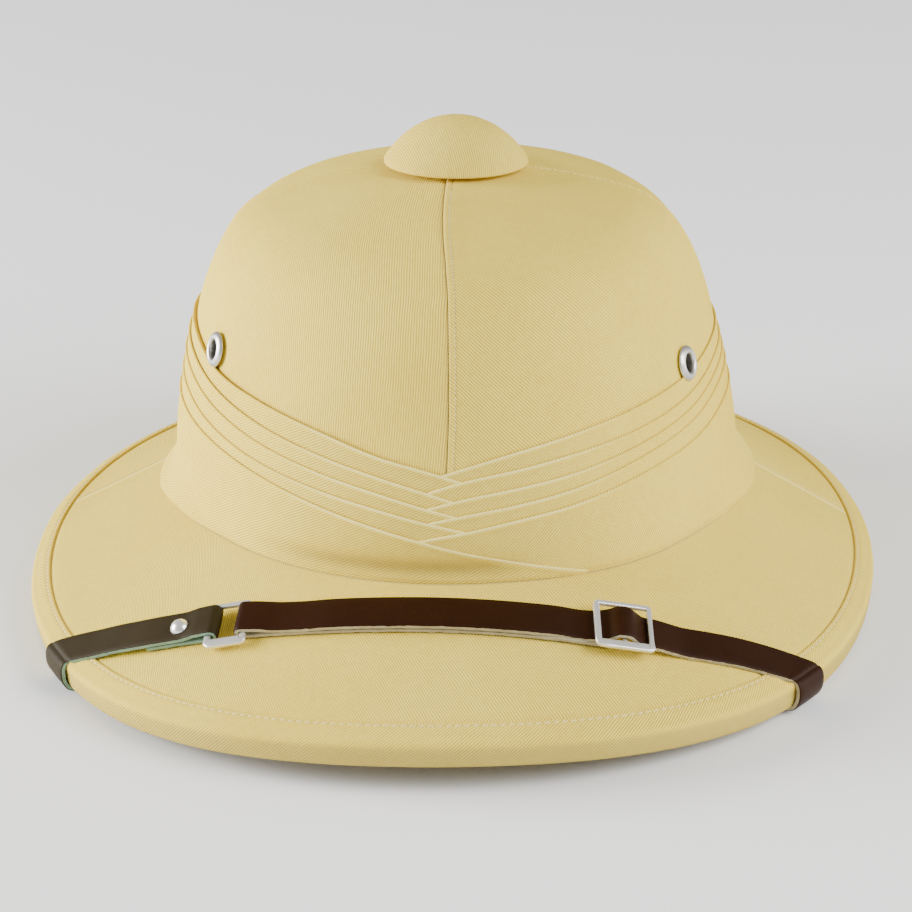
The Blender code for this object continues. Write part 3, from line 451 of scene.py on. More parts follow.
def leather(name, colour, dark, light, roughness, edge=0.0):
    """Smooth dyed leather with a fine pore grain and faint streaks."""
    m = Nodes(name)
    place = m.place()
    cells = m.add("ShaderNodeTexVoronoi", feature="DISTANCE_TO_EDGE")
    m.link(place, cells.inputs["Vector"])
    cells.inputs["Scale"].default_value = 1500.0
    pores = m.math("MULTIPLY", cells.outputs["Distance"], 1.6, clamp=True)
    grain = m.noise(place, 900.0, 3.0, 0.6)
    streak = m.noise(place, 60.0, 3.0, 0.6)
    speck = m.math("POWER", m.noise(place, 700.0, 1.0), 9.0)
    base = m.mix(streak, dark, colour)
    base = m.mix(m.math("MULTIPLY", speck, 1.1, clamp=True), base, light)
    height = m.math("ADD", m.math("MULTIPLY", pores, 0.6), m.math("MULTIPLY", grain, 0.6))
    rough = m.math("MULTIPLY_ADD", streak, 0.16, roughness - 0.08)
    m.set(Base_Color=base, Roughness=rough, Normal=m.bump(height, 0.00004, 0.7))
    m.bsdf.inputs["Specular IOR Level"].default_value = 0.09
    return m.mat


def flesh(name, colour, dark):
    """Cut edge and flesh side of the leather: matt, fibrous."""
    m = Nodes(name)
    place = m.place()
    fibre = m.noise(place, 2200.0, 3.0, 0.7)
    stain = m.noise(place, 260.0, 3.0, 0.6)
    tone = m.math("ADD", m.math("MULTIPLY", fibre, 0.55), m.math("MULTIPLY", stain, 0.55), clamp=True)
    m.set(Base_Color=m.mix(tone, dark, colour), Roughness=0.95, Normal=m.bump(fibre, 0.0002, 0.9))
    return m.mat


def metal(name, colour, roughness, scratch=0.05, metallic=1.0):
    m = Nodes(name)
    place = m.place()
    wear = m.noise(place, 500.0, 3.0, 0.6)
    fine = m.noise(place, 3500.0, 2.0, 0.6)
    rough = m.math("ADD", m.math("MULTIPLY", wear, scratch), roughness - 0.4 * scratch)
    tint = m.mix(wear, (colour[0] * 0.86, colour[1] * 0.85, colour[2] * 0.83, 1.0), colour)
    m.set(Base_Color=tint, Roughness=rough, Normal=m.bump(fine, 0.000005, 0.2))
    m.bsdf.inputs["Metallic"].default_value = metallic
    return m.mat


KHAKI = (0.775, 0.560, 0.066, 1.0)
KHAKI_DARK = (0.545, 0.375, 0.032, 1.0)
KHAKI_LIGHT = (0.920, 0.740, 0.145, 1.0)
CLOTH = twill("khaki_twill_cloth", KHAKI, KHAKI_DARK, KHAKI_LIGHT)
CLOTH_PLEAT = twill("khaki_twill_pleats", KHAKI, KHAKI_DARK, KHAKI_LIGHT)
# the front band's cloth: its crease colour is the painted shade of the hollow
CLOTH_FRONT = twill("khaki_twill_front_band", KHAKI, KHAKI_DARK, KHAKI_LIGHT, crease=HOLLOW_SHADE_COLOUR)
CLOTH_BRIM = twill("khaki_twill_brim", KHAKI, KHAKI_DARK, KHAKI_LIGHT)
# the binding's crease colour is the painted shade tone for its groove, lip and underside
CLOTH_BINDING = twill("khaki_twill_binding", (0.755, 0.540, 0.062, 1.0), KHAKI_DARK, KHAKI_LIGHT,
                      crease=(0.215, 0.165, 0.095, 1.0))
LINING = plain_cloth("khaki_lining", (0.62, 0.49, 0.16, 1.0), (0.48, 0.37, 0.11, 1.0))
THREAD = plain_cloth("khaki_thread", (0.92, 0.78, 0.33, 1.0), (0.72, 0.57, 0.19, 1.0))
LEATHER_LONG = leather("leather_brown_grain", (0.0235, 0.0068, 0.0012, 1.0), (0.0165, 0.0045, 0.0008, 1.0),
                       (0.060, 0.022, 0.010, 1.0), 0.46)
LEATHER_SHORT = leather("leather_olive_grain", (0.0285, 0.0200, 0.0072, 1.0), (0.0200, 0.0138, 0.0048, 1.0),
                        (0.070, 0.052, 0.028, 1.0), 0.50)
FLESH_LONG = flesh("leather_flesh_cream", (0.56, 0.50, 0.30, 1.0), (0.21, 0.165, 0.085, 1.0))
FLESH_SHORT = flesh("leather_flesh_teal", (0.25, 0.42, 0.31, 1.0), (0.12, 0.16, 0.095, 1.0))
NICKEL = metal("nickel_plate", (0.90, 0.89, 0.86, 1.0), 0.25, metallic=0.72)
NICKEL_DULL = metal("nickel_worn", (0.66, 0.65, 0.61, 1.0), 0.36, 0.2)


# ------------------------------------------------------------- mesh building
class Build:
    """Collects grids of points into one mesh with a cloth map on its corners."""

    def __init__(self):
        self.verts, self.faces, self.cloth, self.slots, self.count = [], [], [], [], 0

    def points(self, p):
        p = np.asarray(p, float)
        index = np.arange(self.count, self.count + p[..., 0].size).reshape(p.shape[:-1])
        self.verts.append(p.reshape(-1, 3))
        self.count += index.size
        return index

    def quads(self, index, cloth=None, slot=0, flip=False):
        """Faces over a grid of indices; rows run over the first axis."""
        if cloth is None:
            cloth = np.zeros(index.shape + (3,))
        elif cloth.shape[-1] == 2:
            cloth = np.concatenate([cloth, 0 * cloth[..., :1]], -1)
        corners = [(slice(None, -1), slice(None, -1)), (slice(1, None), slice(None, -1)),
                   (slice(1, None), slice(1, None)), (slice(None, -1), slice(1, None))]
        if flip:
            corners.reverse()
        f = np.stack([index[c] for c in corners], -1).reshape(-1, 4)
        k = np.stack([cloth[c] for c in corners], -2).reshape(-1, 4, 3)
        self.faces.append(f)
        self.cloth.append(k)
        self.slots.append(np.full(len(f), slot))

    def piece(self, name, materials, replaces=(), sharp=50.0, cutters=()):
        verts = np.concatenate(self.verts) @ REST_ROT.T + REST_MOVE
        faces = np.concatenate(self.faces)
        cloth = np.concatenate(self.cloth)
        slots = np.concatenate(self.slots)
        lists, keep_cloth = [], []
        for f, k in zip(faces, cloth):
            kept = [i for i in range(4) if f[i] != f[i - 1]]
            lists.append([int(f[i]) for i in kept])
            keep_cloth.append(k[kept])
        good = [i for i, f in enumerate(lists) if len(f) > 2]
        mesh = bpy.data.meshes.new(name)
        mesh.from_pydata(verts.tolist(), [], [lists[i] for i in good])
        flat = np.concatenate([keep_cloth[i] for i in good])
        layer = mesh.attributes.new("cloth", "FLOAT_VECTOR", "CORNER")
        layer.data.foreach_set("vector", flat.astype(np.float32).ravel())
        for m in materials:
            mesh.materials.append(m)
        mesh.polygons.foreach_set("material_index", slots[good].astype(np.int32))
        mesh.shade_smooth()
        mesh.set_sharp_from_angle(angle=radians(sharp))
        obj = bpy.data.objects.new(name, mesh)
        bpy.context.scene.collection.objects.link(obj)
        for cutter in cutters:
            hole = obj.modifiers.new("hole", "BOOLEAN")
            hole.operation, hole.solver, hole.object = "DIFFERENCE", "EXACT", cutter
        if cutters:
            graph = bpy.context.evaluated_depsgraph_get()
            cut_mesh = bpy.data.meshes.new_from_object(obj.evaluated_get(graph))
            obj.modifiers.clear()
            obj.data = cut_mesh
            obj.data.name = name
        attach(obj, "root")
        if replaces:
            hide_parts(*replaces)
        return obj


def closed_wall(build, outer, inner, cloth, slot_out=0, slot_in=1, slot_rim=0):
    """Outer and inner grids joined by a rim."""
    a, b = build.points(outer), build.points(inner)
    build.quads(a, cloth, slot_out)
    build.quads(b, cloth, slot_in, flip=True)
    for edge, other, c, flip in ((a[0], b[0], cloth[0], True), (a[-1], b[-1], cloth[-1], False),
                                 (a[:, 0], b[:, 0], cloth[:, 0], False),
                                 (a[:, -1], b[:, -1], cloth[:, -1], True)):
        build.quads(np.stack([edge, other]), np.stack([c, c]), slot_rim, flip=flip)


def turned(build, profile, origin, axes, segments, cloth=None, slot=0):
    """Turned surface through (radius, height) pairs; radius 0 closes it."""
    side, up, out = (np.asarray(v, float) for v in axes)
    t = np.arange(segments + 1) * 2 * pi / segments
    ring = side * np.cos(t)[:, None] + up * np.sin(t)[:, None]
    rows = []
    for r, h in profile:
        p = np.asarray(origin) + out * h + ring * r
        rows.append(build.points(p[:1])[0] + 0 * np.arange(segments + 1) if r == 0.0
                    else np.r_[build.points(p[:-1]), 0][[*range(segments), segments]])
        if r:
            rows[-1][-1] = rows[-1][0]
    rows = np.array(rows)
    if cloth is None:
        cloth = np.zeros(rows.shape + (2,))
    build.quads(rows, cloth, slot)


STITCH_ROWS = ((-1.0, 0.35), (-0.8, 0.8), (-0.3, 1.0), (0.3, 1.0), (0.8, 0.8), (1.0, 0.35))


def stitches(name, path, normals, length=1.9 * MM, pitch=2.5 * MM, radius=0.24 * MM, lift=0.05 * MM,
             slant=0.12, start=0.0):
    """A row of raised thread stitches along a path lying on the cloth."""
    path, normals = np.asarray(path, float), np.asarray(normals, float)
    run = np.r_[0, np.cumsum(np.linalg.norm(np.diff(path, axis=0), axis=1))]
    b = Build()
    n = int((run[-1] - start) / pitch)
    t = np.arange(7) * 2 * pi / 6
    for k in range(n):
        s = start + (k + 0.5) * pitch
        c = np.array([np.interp(s, run, path[:, i]) for i in range(3)])
        f = np.array([np.interp(s + 0.3 * MM, run, path[:, i]) for i in range(3)]) - \
            np.array([np.interp(s - 0.3 * MM, run, path[:, i]) for i in range(3)])
        up = np.array([np.interp(s, run, normals[:, i]) for i in range(3)])
        f /= np.linalg.norm(f)
        up -= f * np.dot(up, f)
        up /= np.linalg.norm(up)
        side = np.cross(up, f)
        f = f + side * slant
        rows = []
        for q, w in STITCH_ROWS:
            centre = c + f * q * 0.5 * length + up * (lift - 0.22 * MM * q * q)
            rows.append(b.points(centre + (side * np.cos(t[:-1])[:, None] * 1.15
                                           + up * np.sin(t[:-1])[:, None] * 0.8) * radius * w))
        idx = np.array([np.r_[r, r[0]] for r in rows])
        b.quads(idx, flip=True)
        b.quads(np.array([idx[0], np.full(7, idx[0][0])]))
        b.quads(np.array([np.full(7, idx[-1][0]), idx[-1]]))
    return b.piece(name, [THREAD], sharp=80)


def unit(v):
    return v / np.linalg.norm(v, axis=-1, keepdims=True)


def wale_map(u, v, slope, crease=0.0):
    """Cloth map from distances along (u) and up (v) the surface; slope is the
    wales' angle above the along direction, in degrees.  The third value tells
    how deep in a crease the place is, 0 to 1, and sets painted shade there;
    below 0 it sets a painted highlight."""
    c, s = cos(radians(slope)), sin(radians(slope))
    u, v = u + 0 * v, v + 0 * u
    return np.stack([u * c + v * s, -u * s + v * c, crease + 0 * u], -1)


# --------------------------------------------------------------- eyelet holes
def drill(angle, height, radius, name):
    p, side, up, out = crown_frame(angle, height)
    b = Build()
    turned(b, [(0.0, 9 * MM), (radius, 9 * MM), (radius, -9 * MM), (0.0, -9 * MM)], p,
           (side, up, out), 32)
    verts = np.concatenate(b.verts) @ REST_ROT.T + REST_MOVE
    lists = []
    for f in np.concatenate(b.faces):
        kept = [int(f[i]) for i in range(4) if f[i] != f[i - 1]]
        if len(kept) > 2:
            lists.append(kept)
    mesh = bpy.data.meshes.new(name)
    mesh.from_pydata(verts.tolist(), [], lists)
    bm = bmesh.new()
    bm.from_mesh(mesh)
    bmesh.ops.remove_doubles(bm, verts=bm.verts, dist=1e-7)
    bmesh.ops.recalc_face_normals(bm, faces=bm.faces)
    bm.to_mesh(mesh)
    bm.free()
    obj = bpy.data.objects.new(name, mesh)
    bpy.context.scene.collection.objects.link(obj)
    obj.hide_render = True
    return obj


DRILLS = {name: drill(a, h, 3.65 * MM, "drill_" + name) for name, a, h in EYELETS}

# -------------------------------------------------------------- pleat lines
def pleat_height(side, fold, swing):
    table = PLEATS_LEFT if side == "left" else PLEATS_RIGHT
    if side == "left":
        s = swing if swing >= -90.0 else -180.0 - swing
    else:
        s = swing if swing <= 90.0 else 180.0 - swing
    xs = [row[0] for row in table]
    if not min(xs) <= s <= max(xs):
        return -50.0
    return float(smooth_curve(xs, [row[1 + fold] for row in table], s))


def fold_bottom(side, fold, swing):
    over = []
    if side == "left":
        if fold < 4:
            over = [pleat_height("left", fold + 1, swing), pleat_height("right", fold + 1, swing)]
    else:
        over = [pleat_height("left", fold, swing)]
        if fold < 4:
            over.append(pleat_height("right", fold + 1, swing))
    return max(over + [0.0])


PLEAT_THICK = 0.50
CROSSING_STAND = (0.70, 0.20)    # mm, lowest layer and step a layer, at the front
SIDE_STAND_LEFT = (1.40, 1.95, 2.25, 2.50, 2.85)     # by fold, away from the front
SIDE_STAND_RIGHT = (0.62, 0.92, 1.14, 1.36, 1.62)
RIDGE = 0.36
ROLL = 0.40


def pleat_stand(side, fold, swing):
    layer = 2 * fold + (1 if side == "left" else 0)
    front = CROSSING_STAND[0] + CROSSING_STAND[1] * layer
    away = (SIDE_STAND_LEFT if side == "left" else SIDE_STAND_RIGHT)[fold]
    far = step_up(np.abs(swing), 12.0, 60.0)
    # both bands meet at one height behind
    back = step_up(np.abs(swing), 120.0, 176.0)
    level = 0.5 * (SIDE_STAND_LEFT[fold] + SIDE_STAND_RIGHT[fold])
    return front + (away - front) * far + (level - away) * back


FLARE = 3.4       # mm, how far the band's cloth runs out on the brim at the sides
FOOT = 0.75       # mm, how far its lower edge stands out at the front
HOLLOW = 1.45     # mm, depth of the hollow above that edge
HOLLOW_AT = 4.2   # mm, its height above the crown's base


def band_flare(swing):
    swing = (np.asarray(swing, float) + 180.0) % 360.0 - 180.0
    return step_up(np.abs(swing), 48.0, 84.0)


def foot_stand(side, swing):
    """How far the lower edge of one side's band stands out from the crown."""
    flare = band_flare(swing)
    near = FOOT + (0.2 if side == "left" else 0.0)
    near = near + 1.85 * step_up(swing, 6.0, 36.0) - 0.80 * step_up(swing, 40.0, 60.0)
    return near + (pleat_stand(side, 4, swing) + 0.15 + FLARE - near) * flare


def band_foot(swing):
    """How far the band's lower edge stands out from the crown."""
    swing = (np.asarray(swing, float) + 180.0) % 360.0 - 180.0
    split = step_up(swing, 15.0, 22.0)
    return foot_stand("left", swing) * (1 - split) + foot_stand("right", swing) * split


def band_hollow(swing, height):
    """The soft hollow along the front, above the band's lower edge: 0 to 1."""
    front = np.exp(-((swing + 9.0) / 27.0) ** 4) * (1 - step_up(swing, 8.0, 24.0))
    return front * np.exp(-((height - HOLLOW_AT) / 2.9) ** 2)


def band_face(side, swing, height):
    """How far the band's face stands out from the crown at a height in mm."""
    stand, foot = pleat_stand(side, 4, swing), foot_stand(side, swing)
    flare = band_flare(swing)
    tuck = 1 - step_up(height, 0.8, 14.0)
    run = np.clip(1 - height / 13.0, 0.0, 1.4) ** 2.2
    face = stand + (foot - stand) * ((1 - flare) * tuck + flare * run)
    return face - HOLLOW * band_hollow(swing, height)


SWINGS = np.arange(-180.0, 181.0, 2.0)
BAND_TOP = (SWINGS + 180.0, np.array([max(pleat_height("left", 0, w), pleat_height("right", 0, w))
                                      for w in SWINGS]) * MM)

# ---------------------------------------------------------------------- crown
PROFILE_H = np.linspace(0, TOP, 400)
PROFILE_S = np.r_[0, np.cumsum(np.hypot(np.diff(PROFILE_H), np.diff(half_width(PROFILE_H)) * 1.1))]
ROW_S = np.linspace(0, PROFILE_S[-1], 64)
ROW_H = np.interp(ROW_S, PROFILE_S, PROFILE_H)
SEAM_COLUMNS = np.array([0.0, 0.10, 0.22, 0.38, 0.6, 0.9, 1.25, 1.6, 1.85, 2.1, 2.35, 2.7, 3.3, 4.2,
                         5.3, 6.3, 7.4]) * MM
STITCH_IN = 2.1 * MM


def seam_swing(height):
    return np.interp(height, HEIGHTS, [row[2] for row in CROWN_SECTIONS])


def seam_over(d):
    """Folded edge on top: welt, stitch line and the seam allowance below."""
    f = 0.26 * MM * (1 - step_up(d, 4.8 * MM, 6.6 * MM))
    f = f + 0.20 * MM * bump_at(d, 1.0 * MM, 0.75 * MM) - 0.24 * MM * bump_at(d, STITCH_IN, 0.30 * MM)
    return f - 0.62 * MM * (1 - np.clip(d / (0.42 * MM), 0, 1)) ** 2


def seam_under(d):
    """Cloth that runs in under the other panel's folded edge."""
    f = 0.08 * MM * (1 - step_up(d, 3.0 * MM, 5.5 * MM))
    return f - 0.30 * MM * bump_at(d, 0.0, 0.9 * MM) - 0.35 * MM * (1 - np.clip(d / (0.25 * MM), 0, 1)) ** 2


# painted shade along the folded seam edge and in the stitch groove
def over_crease_shade(d):
    return np.maximum(0.5 - 0.5 * step_up(d, 0.05 * MM, 0.45 * MM), 0.3 * bump_at(d, STITCH_IN, 0.28 * MM))


# painted shade where the cloth runs in under the other panel's folded edge
def under_crease_shade(d):
    return 0.46 * (1 - step_up(d, 0.15 * MM, 0.95 * MM))


def band_top(angle):
    """Height of the pleated band's upper edge round the crown."""
    return np.interp((np.asarray(angle, float) + 270.0) % 360.0, *BAND_TOP)


def crown_panel(name, start, stop, start_over, stop_over, slope, u_from, cutters=()):
    outer, inner, cloth = [], [], []
    for h, s in zip(ROW_H, ROW_S):
        a0, a1 = start, stop
        if abs(start + 90.0) < 0.01:
            a0 = start + float(seam_swing(h))
        if abs(stop + 90.0) < 0.01:
            a1 = stop + float(seam_swing(h))
        v0 = np.linalg.norm(crown_at(a0 + 0.05, h) - crown_at(a0 - 0.05, h)) / 0.1
        v1 = np.linalg.norm(crown_at(a1 + 0.05, h) - crown_at(a1 - 0.05, h)) / 0.1
        arc = 0.5 * (v0 + v1) * (a1 - a0)
        fit = min(1.0, 0.36 * arc / SEAM_COLUMNS[-1])
        d = SEAM_COLUMNS * fit
        left = a0 + (d + 0.5 * SEAM_GAP * 0.3) / v0
        right = a1 - (d + 0.5 * SEAM_GAP * 0.3) / v1
        mid = np.linspace(left[-1], right[-1], 42)[1:-1]
        a = np.r_[left, mid, right[::-1]]
        d0 = np.r_[d, np.full(len(mid) + len(d), 1.0)] / fit
        d1 = np.r_[np.full(len(mid) + len(d), 1.0), d[::-1]] / fit
        stand = (seam_over(d0) if start_over else seam_under(d0)) * np.sqrt(fit)
        stand = stand + (seam_over(d1) if stop_over else seam_under(d1)) * np.sqrt(fit)
        # painted shade along the panel's seams
        crease = np.maximum(over_crease_shade(d0) if start_over else under_crease_shade(d0),
                            over_crease_shade(d1) if stop_over else under_crease_shade(d1))
        p = crown_at(a, h + 0 * a)
        stand = stand + 0.16 * MM * ripple(p, 70 * MM, 3) + 0.05 * MM * ripple(p, 22 * MM, 4)
        # flat and lower under the pleats
        under = step_up(band_top(a) - h, 1.0 * MM, 4.0 * MM)
        stand = stand * (1 - 0.85 * under) - 0.15 * MM * under
        # drawn in behind the hollow
        swing = (a + 270.0) % 360.0 - 180.0
        stand = stand - 2.2 * MM * (1 - step_up(h, 8.5 * MM, 15.0 * MM)) * (1 - step_up(np.abs(swing), 62.0, 84.0))
        outer.append(crown_at(a, h + 0 * a, stand))
        inner.append(crown_at(a, h + 0 * a, -CROWN_WALL))
        base = {"start": a0, "stop": a1, "mid": 0.5 * (a0 + a1)}[u_from]
        speed = {"start": v0, "stop": v1, "mid": 0.5 * (v0 + v1)}[u_from]
        cloth.append(wale_map((a - base) * speed, s + 0 * a, slope, crease))
    b = Build()
    outer, inner, cloth = (np.array(x).transpose(1, 0, 2) for x in (outer, inner, cloth))
    closed_wall(b, outer, inner, cloth, 0, 1, 0)
    return b.piece(name, [CLOTH, LINING], [name], cutters=cutters)


# wales: near upright on the left of the front seam, falling to the right of it
crown_panel("crown_panel_front_left", SIDE_SEAM_LEFT - 360.0, -90.0, True, False, 86.0, "stop",
            [DRILLS["eyelet_left"]])
crown_panel("crown_panel_front_right", -90.0, SIDE_SEAM_RIGHT, True, True, -44.0, "start",
            [DRILLS["eyelet_right"]])
crown_panel("crown_panel_back_right", SIDE_SEAM_RIGHT, 90.0, False, True, 80.0, "mid")
crown_panel("crown_panel_back_left", 90.0, SIDE_SEAM_LEFT, False, False, -50.0, "mid")


def seam_line(angle, way, h_lo, h_hi, front=False):
    """Path and normals of a topstitch beside a crown seam."""
    hs = np.linspace(h_lo, h_hi, 160)
    path, normals = [], []
    for h in hs:
        a = angle + (float(seam_swing(h)) if front else 0.0)
        v = np.linalg.norm(crown_at(a + 0.05, h) - crown_at(a - 0.05, h)) / 0.1
        a += way * STITCH_IN / v
        p = crown_at(a, h, 0.10 * MM)
        path.append(p)
        normals.append(crown_at(a, h, 1.10 * MM) - p)
    return path, normals


for tag, angle, way, front in (("front", -90.0, 1.0, True), ("side_left", SIDE_SEAM_LEFT - 360.0, 1.0, False),
                               ("side_right", SIDE_SEAM_RIGHT, -1.0, False), ("back", 90.0, -1.0, False)):
    path, normals = seam_line(angle, way, 28 * MM if front else 40 * MM, 105.4 * MM, front)
    stitches("crown_stitches_" + tag, path, normals, length=1.25 * MM, pitch=1.65 * MM,
             radius=0.20 * MM, slant=0.22)


# ----------------------------------------------------------------------- brim
def brim_piece(name, start, stop, start_over, stop_over, slope, mid):
    d = SEAM_COLUMNS
    speed = 120 * MM * pi / 180.0
    left = start + (d + 0.05 * MM) / speed
    right = stop - (d + 0.05 * MM) / speed
    count = int((right[-1] - left[-1]) / 1.6)
    inner_cols = np.linspace(left[-1], right[-1], count)[1:-1]
    a = np.r_[left, inner_cols, right[::-1]]
    far = np.full(len(inner_cols) + len(d), 1.0)
    d0, d1 = np.r_[d, far], np.r_[far, d[::-1]]
    stand_seam = 0.4 * ((seam_over(d0) if start_over else seam_under(d0)) +
                        (seam_over(d1) if stop_over else seam_under(d1)))
    # painted highlight: a pale line along the brim's seams, in the fold highlight colour
    seam_highlight = -0.75 * (1 - step_up(np.minimum(d0, d1), 0.3 * MM, 1.0 * MM))
    span = brim_span(a)
    end = binding_run(a) + 0.45 * MM / span
    outer, inner, cloth = [], [], []
    drop = np.array([0, 0, -0.35 * MM])
    thick = np.array([0, 0, -BRIM_WALL])
    seat = crown_at(a, 0 * a, -CROWN_WALL) + drop
    foot = crown_at(a, 0 * a, 0.3 * MM) + drop
    outer += [seat, foot]
    inner += [seat + thick, foot + thick]
    hoop = np.radians(a - mid)
    for f in (-4.0, -1.0):
        cloth.append(wale_map(hoop * 0.100, f * MM + 0 * a, slope))
    near = np.array([1.2, 1.8, 2.3, 2.8, 3.2, 3.6, 4.0, 4.5, 5.2]) * MM
    far = np.array([3.0, 2.2, 1.6, 1.2, 0.9, 0.65, 0.45, 0.0]) * MM
    stations = [d / span for d in near]
    stations += [near[-1] / span + (end - (near[-1] + far[0]) / span) * f for f in np.linspace(0, 1, 34)[1:-1]]
    stations += [end - d / span for d in far]
    band = band_foot(a + 90.0) * MM
    soft = 1.0 - 0.85 * band_flare(a + 90.0)
    for u in stations:
        p = brim_at(a, u)
        in_, out_ = u * span, (end - u) * span
        stand = stand_seam * step_up(in_, 1.5 * MM, 3.0 * MM)
        stand = stand + 0.22 * MM * ripple(p, 90 * MM, 8) * step_up(in_, 2 * MM, 12 * MM)
        stand = stand + 0.06 * MM * ripple(p, 26 * MM, 9) * step_up(in_, 2 * MM, 8 * MM)
        stand = stand * step_up(out_, 0.3 * MM, 3.0 * MM) - 0.24 * MM * (1 - step_up(out_, 0.4 * MM, 2.2 * MM))
        outer.append(brim_at(a, u, stand))
        inner.append(brim_at(a, u, -BRIM_WALL + 0 * a))
        # painted shade on the brim at the band's lower edge, less where the band flares, and in the groove by the
        # binding
        crease = np.maximum(0.8 * soft * (1 - step_up(in_ - band, 0.0, 0.8 * MM)),
                            0.18 * (1 - step_up(out_ - 0.45 * MM, 0.05 * MM, 0.60 * MM)))
        cloth.append(wale_map(hoop * (0.100 + 0.05 * u), -u * span, slope, crease + seam_highlight * (crease < 0.05)))
    outer, inner, cloth = (np.array(x).transpose(1, 0, 2) for x in (outer, inner, cloth))
    b = Build()
    closed_wall(b, outer, inner, cloth, 0, 1, 0)
    # the outside of this grid faces down, so turn every face round
    b.faces = [f[:, ::-1] for f in b.faces]
    b.cloth = [c[:, ::-1] for c in b.cloth]
    return b.piece(name, [CLOTH_BRIM, LINING], [name])


brim_piece("brim_front", BRIM_SEAM_LEFT - 360.0, BRIM_SEAM_RIGHT, False, False, -58.0, -90.0)
brim_piece("brim_back", BRIM_SEAM_RIGHT, BRIM_SEAM_LEFT, True, True, 62.0, 90.0)

for tag, angle, way in (("left", BRIM_SEAM_LEFT, -1.0), ("right", BRIM_SEAM_RIGHT, 1.0)):
    us = np.linspace(0.06, float(binding_run(angle)), 60)
    a = angle + way * STITCH_IN / (120 * MM * pi / 180.0)
    path = brim_at(a, us, 0.10 * MM)
    normals = brim_at(a, us, 1.1 * MM) - path
    stitches("brim_stitches_" + tag, path, normals, length=1.3 * MM, pitch=1.75 * MM,
             radius=0.20 * MM, slant=0.2)


# -------------------------------------------------------------------- binding
def binding_sections(a):
    """Closed sections of the folded edge strip: turned-in edge, top, rounded
    fold, lip, bottom fold, underside."""
    span, b0 = brim_span(a), binding_run(a)
    fold, out = edge_at(a), edge_normal(a)
    up = np.array([0, 0, 1.0])

    def top(mm, stand):
        """On the top cloth, so many mm out from the strip's inner edge."""
        return brim_at(a, b0 + mm * MM / span, stand * MM)
    lip = fold - up * LIP_HEIGHT - out * LIP_UNDERCUT
    wall = unit(lip - fold)
    pts = [top(mm, h) for mm, h in BINDING_TOP]
    p0, p2 = pts[-1], fold + wall * 2.5 * MM + out * 0.30 * MM
    p1 = fold + out * 0.75 * MM + up * 0.50 * MM
    for t in (0.15, 0.3, 0.45, 0.6, 0.75, 0.9, 1.0):
        pts.append((1 - t) ** 2 * p0 + 2 * t * (1 - t) * p1 + t * t * p2)
    pts += [fold + wall * 4.2 * MM + out * 0.42 * MM, fold + wall * 5.8 * MM + out * 0.38 * MM,
            fold + wall * 7.0 * MM + out * 0.22 * MM]
    p0, p2 = fold + wall * 7.6 * MM + out * 0.10 * MM, lip - out * 1.7 * MM + up * 0.02 * MM
    p1 = lip + out * 0.15 * MM - up * 0.12 * MM
    for t in (0.0, 0.3, 0.55, 0.8, 1.0):
        pts.append((1 - t) ** 2 * p0 + 2 * t * (1 - t) * p1 + t * t * p2)
    pts += [fold - up * (LIP_HEIGHT - 0.1 * MM) - out * 3.4 * MM,
            fold - up * (LIP_HEIGHT - 0.6 * MM) - out * 4.6 * MM,
            fold - up * (LIP_HEIGHT - 1.6 * MM) - out * 5.0 * MM,
            brim_at(a, b0 + 0.3 * MM / span, -3.4 * MM)]
    return np.stack(pts, 1)


BINDING_TOP = (
    # out from the strip's inner edge, above the brim cloth
    (0.30, -0.50), (0.04, -0.26), (0.0, 0.02), (0.03, 0.30), (0.18, 0.54), (0.45, 0.66), (0.8, 0.66),
    (1.0, 0.60), (1.2, 0.48), (1.4, 0.60), (1.7, 0.74), (2.4, 0.80), (3.4, 0.74), (4.4, 0.60), (5.3, 0.42))
# painted shade across the strip's section: the groove at its inner edge, the stitch dip, and the lip and underside,
# which get less light
BINDING_SHADE = ((0, 2, 3, 4, 5, 7, 8, 9, 10, 18, 20, 22, 40),
                  (0.45, 0.35, 0.20, 0.06, 0.0, 0.1, 0.4, 0.1, 0.0, 0.0, 0.46, 0.66, 0.72))
angles = np.arange(0, 360, 1.0)
sections = binding_sections(angles)
wob = 0.10 * MM * ripple(sections, 34 * MM, 12)
outward = edge_normal(angles)[:, None, :]
sections[:, 9:27] += outward * wob[:, 9:27, None]
around = np.linalg.norm(np.diff(np.concatenate([sections, sections[:1]])[:, 19], axis=0), axis=1)
around = np.r_[0, np.cumsum(around)]
across = np.concatenate([np.zeros((len(angles), 1)),
                         np.cumsum(np.linalg.norm(np.diff(sections, axis=1), axis=2), axis=1)], 1)
b = Build()
index = b.points(sections)
index = np.concatenate([index, index[:1]])
index = np.concatenate([index, index[:, :1]], axis=1)
across = np.concatenate([across, across[:1]])
across = np.concatenate([across, across[:, -1:] + 3 * MM], axis=1)
crease = np.interp(np.arange(across.shape[1]), *BINDING_SHADE)
cloth = wale_map(around[:, None] + 0 * across, -across, 42.0, crease + 0 * across)
b.quads(index, cloth, 0, flip=False)
binding = b.piece("brim_binding", [CLOTH_BINDING], ["brim_binding"], sharp=60)

angles = np.arange(-180.0, 180.5, 0.5)
run = binding_run(angles) + 1.2 * MM / brim_span(angles)
path = brim_at(angles, run, 0.58 * MM)
stitches("binding_stitches", path, brim_at(angles, run, 1.58 * MM) - path,
         length=2.1 * MM, pitch=2.75 * MM, radius=0.27 * MM, slant=0.10)


# ------------------------------------------------------------- pleated band
HOLLOW_SHADE = 0.85


